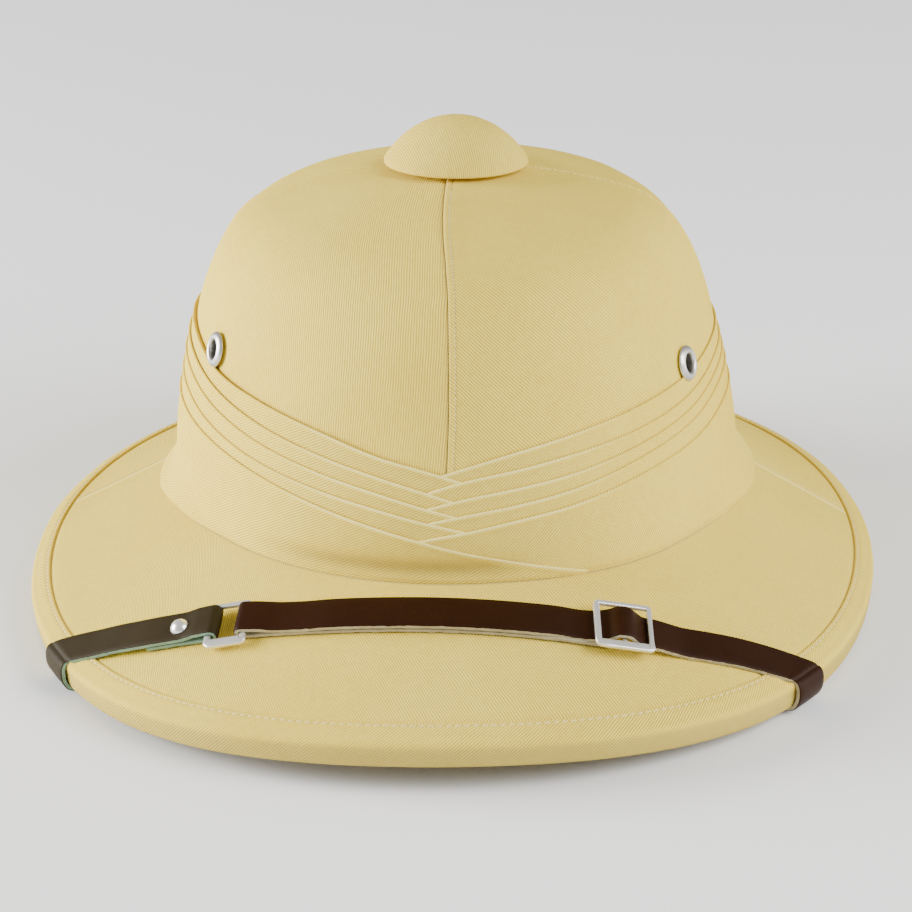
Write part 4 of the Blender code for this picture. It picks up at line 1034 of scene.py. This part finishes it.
def pleat(side, fold, name, slope, cutters=()):
    way = -1.0 if side == "left" else 1.0
    swings = np.r_[np.arange(-26.0, 16.0, 0.75), np.arange(16.0, 178.6, 1.8), 179.2, 179.7, 179.9]
    sections, cloths, creases = [], [], []
    # the first swing at which this fold is covered, going back from the side
    hidden = -27.0
    for s in swings[::-1]:
        if pleat_height(side, fold, way * s) - fold_bottom(side, fold, way * s) < 0.0:
            hidden = s
            break
    for s in swings:
        if s < hidden - 7.0 or pleat_height(side, fold, way * s) < -10:
            continue
        sw = way * s
        top = pleat_height(side, fold, sw)
        low = fold_bottom(side, fold, sw)
        seen = top - low
        open_ = float(step_up(np.array(seen), -1.1, -0.1))
        # painted highlight on the folds' ridges in front, painted shade in the creases, stronger towards the sides, and
        # a light painted shade on the fold faces in front
        side_on = float(step_up(abs(sw), 14.0, 42.0))
        dark = 0.04 + 0.03 * side_on
        fold_highlight = -1.15 * (1 - side_on) * open_
        face = 0.14 * (1 - side_on)
        ridge = RIDGE * open_
        stand = float(pleat_stand(side, fold, sw)) - 0.16 * (1 - open_)
        r = 0.25 + (ROLL - 0.25) * open_
        crest = stand + ridge
        angle = -90.0 + sw
        # along the section: height, stand, crease (painted shade; below 0 painted highlight)
        rows = [(top - r, crest - 2 * r, 0.3)]
        if fold == 0:
            rows = [(top - r - 0.3, -0.3, 0.3), (top - 0.6 * r, crest - 1.7 * r, 0.3)]
        for t, c in ((-62, dark), (-36, dark), (-10, 0.7 * dark), (15, 0.2 * fold_highlight), (40, fold_highlight), (66, fold_highlight), (90, fold_highlight)):
            rows.append((top - r + r * cos(radians(t)), crest - r + r * sin(radians(t)), c))
        rows += [(top - r - 0.35, stand + 0.92 * ridge, 0.6 * fold_highlight), (top - r - 0.8, stand + 0.62 * ridge, 0.0),
                 (top - r - 1.3, stand + 0.28 * ridge, face), (top - r - 1.8, stand + 0.06 * ridge, face)]
        if fold == 4:
            # the band's face, its lower edge on the brim, and the inside
            foot = float(foot_stand(side, sw))
            z = brim_at(angle, foot * MM / float(brim_span(angle)))[2]
            drop = (z - crown_at(angle, 0.0, foot * MM)[2]) / MM
            edge = 1.0 - 0.8 * float(band_flare(sw))
            rows = [(h, float(band_face(side, sw, h)) + out - stand, c) for h, out, c in rows]
            reach, knee = top - 2.3, drop + 0.95
            for f in np.linspace(0.0, 1.0, 16):
                h = reach + (knee - reach) * f
                h = min(h, reach - 0.02 * f)
                rows.append((h, float(band_face(side, sw, h)),
                             max(face, HOLLOW_SHADE * float(band_hollow(sw, h)))))
            # painted shade along the band's lower edge on the brim
            for h, d, c in ((0.85, -0.12 - 0.5 * (1 - edge), 0.0), (0.42, 0.0, 0.1 * edge), (0.10, -0.06, 0.8 * edge)):
                h = min(drop + h * edge, reach - 0.05 - 0.1 * (1 - h))
                rows.append((h, float(band_face(side, sw, max(h, 0.0))) + d, c))
            h = min(drop - 0.10, reach - 0.2)
            rows += [(h, foot - 0.40, 1.0), (h, foot - 0.95, 1.0)]
            for h in (2.0, 4.5, 7.5, 11.0):
                h = min(h, reach - 0.1)
                rows.append((h, float(band_face(side, sw, h)) - 0.45, 1.0))
            cover = pleat_height("left", 4, sw) if side == "right" else -50.0
            deeper = 0.30 + 1.9 * float(step_up(np.array(-sw), 5.0, 12.0))
            rows = [(h, out - deeper * float(step_up(np.array(cover - h), 0.0, 1.0)), c) for h, out, c in rows]
        else:
            bottom = min(low, top) - 1.8
            start = top - r - 2.0
            knee = max(min(low + 0.9, start - 0.1), bottom + 0.8)
            inside = [(start + (knee - start) * f, stand, face) for f in (0.2, 0.4, 0.6, 0.8, 1.0)]
            # painted shade on the fold's body just under the next fold's edge
            for d, c in ((0.6, 0.35), (0.35, 0.6), (0.15, 0.9), (-0.3, 1.0), (-0.9, 1.0)):
                h = min(low + d, knee - 0.05)
                inside.append((max(h, bottom + 0.4), stand - 0.10 * c, c * dark))
            rows += inside
            rows += [(bottom + 0.2, stand - 0.12, 1.0), (bottom - 0.1, stand - 0.25, 1.0),
                     (bottom, stand - PLEAT_THICK, 1.0)]
        if fold == 4:
            rows.append((top - 1.6, rows[-1][1] if top < 12.6 else stand - PLEAT_THICK - 0.02, 1.0))
        else:
            rows.append((top - 1.6, -0.3 if fold == 0 else stand - PLEAT_THICK - 0.02, 1.0))
        rows = np.array(rows)
        if len(sections) and len(rows) != len(sections[-1]):
            # same number of points in every section
            t = np.linspace(0, 1, len(sections[-1]))
            t0 = np.linspace(0, 1, len(rows))
            rows = np.stack([np.interp(t, t0, rows[:, i]) for i in range(3)], -1)
        p = crown_at(angle + 0 * rows[:, 0], rows[:, 0] * MM, rows[:, 1] * MM)
        sections.append(p)
        creases.append(rows[:, 2])
        line = np.r_[0, np.cumsum(np.linalg.norm(np.diff(p, axis=0), axis=1))]
        cloths.append((line, p[7]))
    sections = np.array(sections)
    crest = np.array([c[1] for c in cloths])
    # heights fall along the fold, so the map's level lines stay level
    rise = crest[:, 2]
    upright = np.array([-c[0] for c in cloths]) + (rise - rise[0])[:, None]
    run = np.r_[0, np.cumsum(np.linalg.norm(np.diff(crest[:, :2], axis=0), axis=1))]
    level = (run if way > 0 else -run)[:, None] + 0 * upright
    cloth = wale_map(level, upright, slope, np.array(creases))
    b = Build()
    index = b.points(sections)
    closed = np.concatenate([index, index[:, :1]], axis=1)
    cloth_closed = np.concatenate([cloth, cloth[:, -1:]], axis=1)
    b.quads(closed, cloth_closed, 0, flip=way > 0)
    n = index.shape[1]
    for end, flip in ((0, way > 0), (-1, way < 0)):
        ring = index[end]
        half = n // 2
        strip = np.stack([ring[:half], ring[::-1][:half]])
        b.quads(strip, None, 0, flip=not flip)
    # the left band carries the painted shade of the front hollow
    fabric = CLOTH_FRONT if name == "puggaree_left_band" else CLOTH_PLEAT
    return b.piece(name, [fabric], [name], sharp=75, cutters=cutters)


for fold in range(5):
    label = "fold_%d" % (fold + 1) if fold < 4 else "band"
    pleat("left", fold, "puggaree_left_" + label, 27.0, [DRILLS["eyelet_left"]] if fold == 0 else ())
    pleat("right", fold, "puggaree_right_" + label, 43.0, [DRILLS["eyelet_right"]] if fold == 0 else ())

# ----------------------------------------------------------------- top button
origin = tilt_crown(np.array([CROWN_LEAN * BUTTON_HEIGHT + BUTTON_SHIFT_X, 0.0, BUTTON_HEIGHT]))
cp, sp = cos(radians(CROWN_PITCH)), sin(radians(CROWN_PITCH))
axes = np.array(((1, 0, 0), (0, cp, -sp), (0, sp, cp)), float)
ct, st = cos(radians(BUTTON_TILT)), sin(radians(BUTTON_TILT))
axes = np.array((axes[0] * ct - axes[2] * st, axes[1], axes[2] * ct + axes[0] * st))
BUTTON_R = BUTTON_SECTIONS[0][1] * MM
top_r = np.array([r for h, r in BUTTON_SECTIONS]) * MM
top_h = np.array([h for h, r in BUTTON_SECTIONS]) * MM
step = np.r_[0, np.cumsum(np.hypot(np.diff(top_r), np.diff(top_h)))]
walk = np.linspace(step[-1], 0, 34)
profile = [(0.0, top_h[-1])]
for w in walk[1:]:
    profile.append((float(smooth_curve(step, top_r, w)), float(smooth_curve(step, top_h, w))))
profile += [(BUTTON_R + 0.10 * MM, -0.35 * MM), (BUTTON_R - 0.10 * MM, -0.75 * MM),
            (BUTTON_R - 0.6 * MM, -0.95 * MM), (BUTTON_R - 1.4 * MM, -0.75 * MM), (BUTTON_R - 3 * MM, 0.1 * MM),
            (14 * MM, 1.0 * MM), (4.2 * MM, 1.0 * MM), (4.2 * MM, -5.5 * MM), (0.0, -5.5 * MM)]
SEG = 120
t = np.arange(SEG + 1) * 2 * pi / SEG
rows, cloth = [], []
b = Build()
arc = 0.0
for k, (r, h) in enumerate(profile):
    if k:
        arc += hypot(r - profile[k - 1][0], h - profile[k - 1][1])
    # small gathers where the cloth is drawn round the rim
    edge = float(step_up(np.array(r), 17 * MM, 25 * MM)) if k < 36 else 0.0
    rr = r + edge * 0.10 * MM * np.sin(t * 37 + 1.3 * np.sin(t * 3)) + 0.05 * MM * edge * np.sin(t * 11)
    p = (origin + axes[2] * h + (axes[0] * np.cos(t)[:, None] + axes[1] * np.sin(t)[:, None])
         * rr[:, None])
    if r == 0.0:
        rows.append(np.full(SEG + 1, b.points(p[:1])[0]))
    else:
        idx = b.points(p[:-1])
        rows.append(np.r_[idx, idx[0]])
    flat = arc * 0.97
    # a light painted shade (crease 0.10) over the whole button
    cloth.append(wale_map(flat * np.cos(t), flat * np.sin(t), -74.0, 0.10))
b.quads(np.array(rows), np.array(cloth), 0)
button = b.piece("top_button", [CLOTH], ["top_button"], sharp=75)

# -------------------------------------------------------------------- eyelets
for name, angle, height in EYELETS:
    p, side, up, out = crown_frame(angle, height)
    p = p + out * (0.45 if name == "eyelet_left" else 0.05) * MM
    b = Build()
    rim = [(3.15, 0.55), (3.17, 1.2), (3.32, 1.62), (3.62, 1.92), (4.05, 2.06), (4.5, 2.02), (5.0, 1.82),
           (5.45, 1.5), (5.8, 1.15), (5.98, 0.85), (6.0, 0.68), (5.9, 0.55), (5.4, 0.5), (3.6, 0.5),
           (3.6, -3.5), (3.75, -3.6), (3.7, -3.75), (3.35, -3.75), (3.15, -3.6), (3.15, 0.55)]
    turned(b, [(r * MM, h * MM) for r, h in rim], p, (side, up, out), 72)
    b.faces = [f[:, ::-1] for f in b.faces]
    b.piece(name, [NICKEL_DULL], [name], sharp=55)

# ----------------------------------------------------------------- chin strap
LINE_X = [row[0] * MM for row in STRAP_LINE]
LINE_Y = [row[1] * MM for row in STRAP_LINE]


FRAMES = {}


def strap_frame(x):
    if x not in FRAMES:
        FRAMES[x] = make_frame(x)
    return FRAMES[x]


def make_frame(x):
    def on_brim(x):
        return brim_over(x, float(smooth_curve(LINE_X, LINE_Y, x)))
    a, u = on_brim(x)
    p = brim_at(a, u)
    n = brim_at(a, u, 0.001) - p
    q = brim_raw(*on_brim(x + 0.2 * MM))
    r = brim_raw(*on_brim(x - 0.2 * MM))
    along = unit(q - r)
    n = unit(n)
    n = unit(n - along * np.dot(n, along))
    return p, along, np.cross(along, n), n


def over_brim(x, layer, skew=0.0):
    p, along, across, n = strap_frame(x)
    return p + n * layer, across * 0.5 * STRAP_WIDTH + along * skew, n


def edge_crossing(x_in, x_out):
    for _ in range(24):
        x = 0.5 * (x_in + x_out)
        if brim_over(x, float(smooth_curve(LINE_X, LINE_Y, x)))[1] > 1.0:
            x_out = x
        else:
            x_in = x
    angle = brim_over(x, float(smooth_curve(LINE_X, LINE_Y, x)))[0]
    p, along, across, n = strap_frame(x)
    tangent = edge_at(angle + 0.05) - edge_at(angle - 0.05)
    tangent *= np.sign(np.dot(tangent, across))
    skew = 0.5 * STRAP_WIDTH * np.dot(tangent, along) / np.dot(tangent, across)
    return x, angle, skew


def round_edge(angle, half):
    fold, out = edge_at(angle), edge_normal(angle)
    down = np.array([0, 0, -1.0])
    lip = fold + down * LIP_HEIGHT - out * LIP_UNDERCUT
    return [
        (fold - out * 0.55 * MM - down * 0.95 * MM, half, (out * 0.5 - down) / sqrt(1.25)),
        (fold + out * 0.60 * MM - down * 0.22 * MM, half, (out - down * 0.8) / sqrt(1.64)),
        (fold + out * 1.22 * MM + down * 1.3 * MM, half, out),
        (fold + out * 1.30 * MM + down * 3.2 * MM, half, out),
        (fold + out * 0.62 * MM + down * 6.4 * MM, half, out),
        (lip + out * 0.15 * MM + down * 0.15 * MM, half, (out + down) / sqrt(2)),
        (lip - out * 1.5 * MM + down * 0.75 * MM, half, down),
        (lip - out * 4.4 * MM + down * (LOW_LAYER + 0.05 * MM), half, down),
    ]


def strap_anchor(angle, height=ANCHOR_HEIGHT):
    p, side, up, out = crown_frame(angle, height)
    return p - out * (CROWN_WALL + LOW_LAYER), side, up, out


def hidden_run(last, angle, way):
    c0, w0, n0 = last
    foot, side, up, out = strap_anchor(angle - way * 18.0, -12.0 * MM)
    travel = unit(foot - c0)
    flat = np.cross(travel, np.array([0, 0, 1.0]))
    flat *= np.sign(np.dot(flat, w0)) / np.linalg.norm(flat)
    rise = np.cross(travel, flat)
    rise *= np.sign(rise[2])
    rows = []
    for f, turn in ((0.1, 0.0), (0.25, 15.0), (0.42, 38.0), (0.6, 62.0), (0.78, 82.0)):
        w = flat * cos(radians(turn)) + rise * sin(radians(turn))
        rows.append((c0 + (foot - c0) * f, w * 0.5 * STRAP_WIDTH, n0))
    climb = ANCHOR_HEIGHT + 12.0 * MM
    for k in range(6):
        f = min(k / 4.0, 1.2)
        a = angle - way * 18.0 * (1 - f)
        h = climb * f - 12.0 * MM
        c, side, up, out = strap_anchor(a, h)
        go = strap_anchor(a + way * 1.0, h + climb / 18.0)[0] - c
        c = c - out * 1.3 * MM * max(1.0 - f, 0.0)
        w = np.cross(go, out)
        w *= np.sign(w[2]) / np.linalg.norm(w)
        rows.append((c, w * 0.5 * STRAP_WIDTH, -out))
    return rows


RING_TURN = 0.06          # the ring has swung a little on the straps


def ring_row(x, layer):
    """A row of strap near the ring, turned with it."""
    f = float(bump_at(x, -67.2 * MM, 10 * MM)) * RING_TURN
    return over_brim(x + f * 0.45 * STRAP_WIDTH, layer, f * 0.5 * STRAP_WIDTH)


def loop_round_bar(x, way):
    f = RING_TURN
    p, along, across, n = strap_frame(x + f * 0.45 * STRAP_WIDTH)
    return [(p + n * (BAR_LAYER + up) + (along - across * f) * way * out, (across + along * f) * 0.5 * STRAP_WIDTH, n)
            for out, up in LOOP_TURN]


def ramp(x, table):
    return float(smooth_curve([r[0] * MM for r in table], [r[1] * MM for r in table], x))


def strap(name, rows, grain, fleshy, replaces, face_row, seed=1):
    """Leather strap through rows of (middle, across, facing): a dense soft
    curve, a slightly crowned grain face and a fibrous cut edge."""
    mids = np.array([r[0] for r in rows])
    half = np.array([r[1] for r in rows])
    run = np.r_[0, np.cumsum(np.linalg.norm(np.diff(mids, axis=0), axis=1))]
    count = int(run[-1] / (0.55 * MM))
    # how sharply the strap bends at each row; the points along it stay evenly spaced
    turn = np.zeros(len(run))
    d = unit(np.diff(mids, axis=0))
    turn[1:-1] = np.arccos(np.clip(np.einsum("ij,ij->i", d[1:], d[:-1]), -1, 1))
    s = np.linspace(0, run[-1], count)

    def hermite(values):
        """Monotone-ish curve: tangents from the neighbours, shortened where
        the spacing changes so that tight bends don't overshoot."""
        v = np.asarray(values)
        m = np.zeros_like(v)
        h = np.diff(run)
        slope = np.diff(v, axis=0) / h[:, None]
        w0, w1 = h[1:][:, None], h[:-1][:, None]
        m[1:-1] = (slope[:-1] * w0 + slope[1:] * w1) / (w0 + w1)
        m[0], m[-1] = slope[0], slope[-1]
        i = np.clip(np.searchsorted(run, s, side="right") - 1, 0, len(h) - 1)
        t = ((s - run[i]) / h[i])[:, None]
        hi = h[i][:, None]
        return ((2 * t**3 - 3 * t**2 + 1) * v[i] + (t**3 - 2 * t**2 + t) * hi * m[i]
                + (-2 * t**3 + 3 * t**2) * v[i + 1] + (t**3 - t**2) * hi * m[i + 1])
    c, w = hermite(mids), hermite(half)
    go = np.gradient(c, axis=0)
    n = unit(np.cross(w, go))
    face = int(np.argmin(np.abs(s - run[face_row])))
    if np.dot(n[face], rows[face_row][2]) < 0:
        n = -n
    r = np.random.RandomState(seed)

    def rough(scale, keep):
        x = r.normal(size=count + 8)
        k = np.ones(keep) / keep
        return np.convolve(x, k, "same")[4:-4] * scale * sqrt(keep)
    T = 0.5 * STRAP_THICK
    section = [(-1.0, -T * 0.85), (-1.0, T * 0.15), (-0.995, T * 0.55), (-0.975, T * 0.86), (-0.93, T * 0.98),
               (-0.6, T), (-0.2, T * 1.03), (0.2, T * 1.03), (0.6, T), (0.93, T * 0.98), (0.975, T * 0.86),
               (0.995, T * 0.55), (1.0, T * 0.15), (1.0, -T * 0.85), (0.5, -T * 0.95), (-0.5, -T * 0.95)]
    grain_faces = (2, 3, 4, 5, 6, 7, 8, 9, 10)
    grid = []
    for q, h in section:
        jitter = 0.0
        if abs(q) > 0.99:
            jitter = rough(0.045 * MM, 2) + rough(0.04 * MM, 5)
        lift = rough(0.03 * MM, 3) if h < 0.5 * T else 0.0
        grid.append(c + w * q + unit(w) * np.sign(q) * np.reshape(jitter, (-1, 1))
                    + n * (h + np.reshape(lift, (-1, 1))))
    grid = np.array(grid).transpose(1, 0, 2)
    b = Build()
    index = b.points(grid)
    closed = np.concatenate([index, index[:, :1]], axis=1)
    facing = np.dot(np.cross(go[count // 2], w[count // 2]), n[count // 2]) > 0
    for j in range(len(section)):
        b.quads(closed[:, j:j + 2], None, 0 if j in grain_faces else 1, flip=facing)
    m = len(section)
    for end, flip in ((0, facing), (-1, not facing)):
        ring = index[end]
        order = np.r_[ring[1:13]]
        low = np.r_[ring[0], np.full(10, ring[15]), ring[13]]
        low = np.array([ring[0]] + [ring[15]] * 5 + [ring[14]] * 5 + [ring[13]])
        b.quads(np.stack([order, low]), None, 1, flip=flip)
    return b.piece(name, [grain, fleshy], replaces, sharp=50)


SHORT_LIFT = (
    # x, lift of the mid plane
    (-128.0, 1.3), (-119.0, 1.4), (-108.0, 2.0), (-101.0, 2.5), (-94.5, 2.95), (-88.0, 3.15), (-81.0, 3.25), (-77.0, 4.2),
    (-73.0, 4.6))
x_left, left_edge, skew_left = edge_crossing(-115 * MM, -130 * MM)
half = over_brim(x_left, 0.0, skew_left)[1]
wrap = round_edge(left_edge, half)
rows = list(reversed(hidden_run(wrap[-1], ANCHOR_LEFT, -1.0)))
rows += list(reversed(wrap))
for d, f, h in ((2.6, 0.95, 0.02), (5.0, 0.8, 0.12), (9.0, 0.5, 0.22), (14.0, 0.2, 0.35)):
    rows.append(over_brim(x_left + d * MM, LOW_LAYER + h * MM, skew_left * f))
short_face = len(rows)
for x in (-104, -101, -98, -94.5, -90, -84.4, -81, -79, -77, -75, -73):
    rows.append(ring_row(x * MM, ramp(x * MM, SHORT_LIFT)))
rows += list(reversed(loop_round_bar(RING_BARS_X[0], 1.0)))
for x in (-73, -77, -84.4, -90, -93.0):
    rows.append(ring_row(x * MM, LOW_LAYER))
strap("short_strap", rows, LEATHER_SHORT, FLESH_SHORT, ["short_strap"], short_face, seed=5)

LONG_LIFT = (
    # x, lift of the mid plane
    (-61.5, 4.6), (-58.0, 4.2), (-52.0, 3.2), (-30.0, 3.2), (0.0, 3.2), (30.0, 3.2), (49.2, 3.3), (51.9, 4.8),
    (54.3, 6.7), (57.3, 6.7), (59.7, 4.9), (62.5, 3.3), (66.4, 3.0), (75.0, 1.2), (90.0, 1.2), (124.0, 1.2))
rows = []
for x in (51.9, 44, 36, 26, 16, 6, -4, -14, -24, -34, -44, -53, -58, -61.5):
    rows.append(ring_row(x * MM, LOW_LAYER))
rows += loop_round_bar(RING_BARS_X[1], -1.0)
long_face = len(rows) + 8
for x in (-61.5, -59.6, -58, -55, -52, -44, -34, -24, -14, -4, 6, 16, 26, 36, 44, 49.2, 51.9, 54.3,
          57.3, 59.7, 62.5, 66.4, 70.4, 75, 84, 92, 99):
    middle, half, n = ring_row(x * MM, ramp(x * MM, LONG_LIFT))
    # pulled back a little where it enters the slider
    rows.append((middle - unit(half) * 0.9 * MM * float(bump_at(x, 42.0, 9.0)), half, n))
x_right, right_edge, skew_right = edge_crossing(105 * MM, 128 * MM)
for d, f in ((14.0, 0.15), (9.0, 0.45), (5.0, 0.75), (1.6, 1.0)):
    rows.append(over_brim(x_right - d * MM, LOW_LAYER, skew_right * f))
half = over_brim(x_right, 0.0, skew_right)[1]
wrap = round_edge(right_edge, half)
rows += wrap
rows += hidden_run(wrap[-1], ANCHOR_RIGHT, 1.0)
strap("long_strap", rows, LEATHER_LONG, FLESH_LONG, ["long_strap"], long_face, seed=9)


def bar_frame(name, x0, x1, layer, thick, width, bars, side_bar, replaces, mid_bar=0.0, arch=0.0,
              bevel=0.32, corner=0.8, turn=0.0, front_bar=0.0, aside=0.0):
    """Rectangular metal frame round the strap: one rounded section carried
    round a rectangle with small corner radii, and an optional middle bar."""
    ends = []
    for x in (x0, x1):
        p, _, across, n = strap_frame(x)
        ends.append(p + n * layer)
    along = ends[1] - ends[0]
    half = 0.5 * np.linalg.norm(along)
    along = unit(along)
    p, _, across, n = strap_frame(0.5 * (x0 + x1))
    n = unit(n - along * np.dot(n, along))
    across = np.cross(along, n)
    centre = 0.5 * (ends[0] + ends[1]) + along * turn * 0.45 * STRAP_WIDTH + across * aside
    along, across = unit(along - across * turn), unit(across + along * turn)
    iw = 0.5 * (width - side_bar)
    fw = 0.5 * (width - (front_bar or side_bar))
    # corners of the middle line, with the bar's width at each side
    pts, widths, ups = [], [], []
    rc = corner * MM
    sides = [((-half, fw), (half, fw), front_bar or side_bar), ((half, fw), (half, -iw), bars[1]),
             ((half, -iw), (-half, -iw), side_bar), ((-half, -iw), (-half, fw), bars[0])]
    for (ax, ay), (bx, by), wd in sides:
        length = hypot(bx - ax, by - ay)
        dx, dy = (bx - ax) / length, (by - ay) / length
        for f in np.linspace(0, 1, 9):
            q = rc + (length - 2 * rc) * f
            pts.append((ax + dx * q, ay + dy * q))
            widths.append(wd)
            lift = arch * MM * (4 * f * (1 - f)) if abs(dy) < 0.1 and ay > 0 else 0.0
            ups.append(lift)
        # the rounded corner after this side
        nx, ny = (by - ay) / length, -(bx - ax) / length
        for f in (0.25, 0.5, 0.75):
            t = f * pi / 2
            cx, cy = bx - dx * rc, by - dy * rc
            turn = (cx + dy * 0 + dx * rc * sin(t), cy + dy * rc * sin(t))
            inward = (dy, -dx)
            pts.append((turn[0] + inward[0] * rc * (1 - cos(t)), turn[1] + inward[1] * rc * (1 - cos(t))))
            widths.append(wd)
            ups.append(0.0)
    pts, widths, ups = np.array(pts), np.array(widths), np.array(ups)
    m = len(pts)
    # smooth the change of width round the corners
    widths = (np.roll(widths, 1) + 2 * widths + np.roll(widths, -1)) / 4
    tangent = np.roll(pts, -1, 0) - np.roll(pts, 1, 0)
    tangent /= np.linalg.norm(tangent, axis=1)[:, None]
    inward = np.stack([tangent[:, 1], -tangent[:, 0]], -1)
    bv = bevel * MM
    rows = []
    for sx, sy in ((-1, -1), (-1, 1), (1, 1), (1, -1)):
        for k in range(3):
            base = {(-1, -1): 180, (-1, 1): 90, (1, 1): 0, (1, -1): -90}[(sx, sy)]
            t = radians(base + 90 - k * 45)
            off = sx * (0.5 * widths - bv) + bv * cos(t)
            h = sy * (0.5 * thick - bv) + bv * sin(t)
            flat = pts + inward * off[:, None]
            rows.append(centre + along * flat[:, :1] + across * flat[:, 1:] + n * (h + ups)[:, None])
    grid = np.array(rows).transpose(1, 0, 2)
    b = Build()
    index = b.points(grid)
    index = np.concatenate([index, index[:1]])
    index = np.concatenate([index, index[:, :1]], axis=1)
    b.quads(index, None, 0, flip=True)
    if mid_bar:
        ys = np.linspace(-iw, iw, 5)
        t = np.arange(10) * 2 * pi / 10
        rows = []
        for y in ys:
            ring = (centre + across * y + along * (0.5 * mid_bar * np.cos(t))[:, None]
                    + n * (0.4 * thick * np.sin(t))[:, None])
            idx = b.points(ring)
            rows.append(np.r_[idx, idx[0]])
        b.quads(np.array(rows), None, 0)
    return b.piece(name, [NICKEL], replaces, sharp=60)


bar_frame("strap_ring", RING_BARS_X[0], RING_BARS_X[1], BAR_LAYER, 1.45 * MM, 18.4 * MM,
          (2.0 * MM, 2.0 * MM), 1.6 * MM, ["strap_ring"], turn=RING_TURN, front_bar=3.2 * MM, aside=1.2 * MM)
bar_frame("slider_buckle", SLIDER_BARS_X[0], SLIDER_BARS_X[1], SLIDER_LAYER, 1.45 * MM, 18.8 * MM,
          (2.0 * MM, 1.6 * MM), 1.6 * MM, ["slider_buckle"], mid_bar=1.8 * MM, front_bar=2.8 * MM)

p, along, across, n = strap_frame(RIVET_X)
p = p + across * 0.6 * MM
top = 3.2 * MM + 0.5 * STRAP_THICK
b = Build()
profile = [(0.0, 2.35), (0.5, 2.32), (1.0, 2.2), (1.5, 1.98), (2.0, 1.66), (2.45, 1.25), (2.8, 0.8), (3.02, 0.4),
           (3.1, 0.12), (3.05, 0.0), (2.85, -0.02), (1.2, -0.02), (1.2, -2.6), (0.0, -2.6)]
turned(b, [(r * MM, top + h * MM) for r, h in profile], p, (along, -across, n), 48)
b.piece("strap_rivet", [NICKEL], ["strap_rivet"], sharp=60)

for name in ("strap_anchor_left", "strap_anchor_right"):
    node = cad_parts[name]
    node.data.materials.clear()
    node.data.materials.append(NICKEL_DULL)

# ------------------------------------------------------------ floor and light
def floor_material():
    m = Nodes("studio_floor")
    m.set(Roughness=0.9)
    m.bsdf.inputs["Base Color"].default_value = (0.95, 0.95, 0.95, 1.0)
    m.bsdf.inputs["Specular IOR Level"].default_value = 0.1
    return m.mat


mesh = bpy.data.meshes.new("floor")
mesh.from_pydata([(-6, -6, -0.0002), (6, -6, -0.0002), (6, 6, -0.0002), (-6, 6, -0.0002)], [], [(0, 1, 2, 3)])
mesh.materials.append(floor_material())
floor = bpy.data.objects.new("floor", mesh)
bpy.context.scene.collection.objects.link(floor)

world = bpy.data.worlds.new("studio")
bpy.context.scene.world = world
world.use_nodes = True
back = world.node_tree.nodes["Background"]
back.inputs["Color"].default_value = (1.0, 1.0, 1.0, 1.0)
back.inputs["Strength"].default_value = 0.4


def area(name, place, aim, size, power, colour=(1, 1, 1)):
    data = bpy.data.lights.new(name, "AREA")
    data.shape = "RECTANGLE"
    data.size, data.size_y = size
    data.energy = power
    data.color = colour
    obj = bpy.data.objects.new(name, data)
    obj.location = place
    obj.rotation_euler = (Vector(aim) - Vector(place)).to_track_quat("-Z", "Y").to_euler()
    bpy.context.scene.collection.objects.link(obj)
    return obj


# softboxes: name, bearing and elevation as seen from the hat, power
SOFTBOXES = (
    ("box_left", 180.0, 12.0, 150.0),
    ("box_right", 0.0, 12.0, 25.0),
    ("box_front_right", -30.0, 35.0, 56.0),
)
for name, bearing, elevation, power in SOFTBOXES:
    r = 2.1 * cos(radians(elevation))
    area(name, (r * cos(radians(bearing)), r * sin(radians(bearing)), 0.06 + 2.1 * sin(radians(elevation))),
         (0, 0, 0.06), (1.3, 1.3), power)

# --------------------------------------------------------------------- camera
ELEVATION, DISTANCE, YAW, ROLL = radians(22.0526), 1.1, radians(1.8952), radians(-1.0559)
TARGET = np.array([1.4486 * MM, 0.0, 35.4262 * MM])
FOCAL_PIXELS = 2854.96 * 1.1
toward = np.array([sin(YAW) * cos(ELEVATION), -cos(YAW) * cos(ELEVATION), sin(ELEVATION)])
eye = TARGET + toward * DISTANCE
right = unit(np.cross(-toward, np.array([0, 0, 1.0])))
up = np.cross(right, -toward)
right, up = right * cos(ROLL) + up * sin(ROLL), up * cos(ROLL) - right * sin(ROLL)
data = bpy.data.cameras.new("camera")
data.sensor_width = 36.0
data.lens = FOCAL_PIXELS / 912.0 * 36.0
data.clip_start, data.clip_end = 0.05, 60.0
camera = bpy.data.objects.new("camera", data)
bpy.context.scene.collection.objects.link(camera)
basis = REST_ROT @ np.stack([right, up, toward], 1)
matrix = Matrix([list(basis[i]) + [0.0] for i in range(3)] + [[0, 0, 0, 1]])
matrix.translation = Vector(REST_ROT @ eye + REST_MOVE)
camera.matrix_world = matrix
bpy.context.scene.camera = camera

for obj in DRILLS.values():
    bpy.data.objects.remove(obj, do_unlink=True)
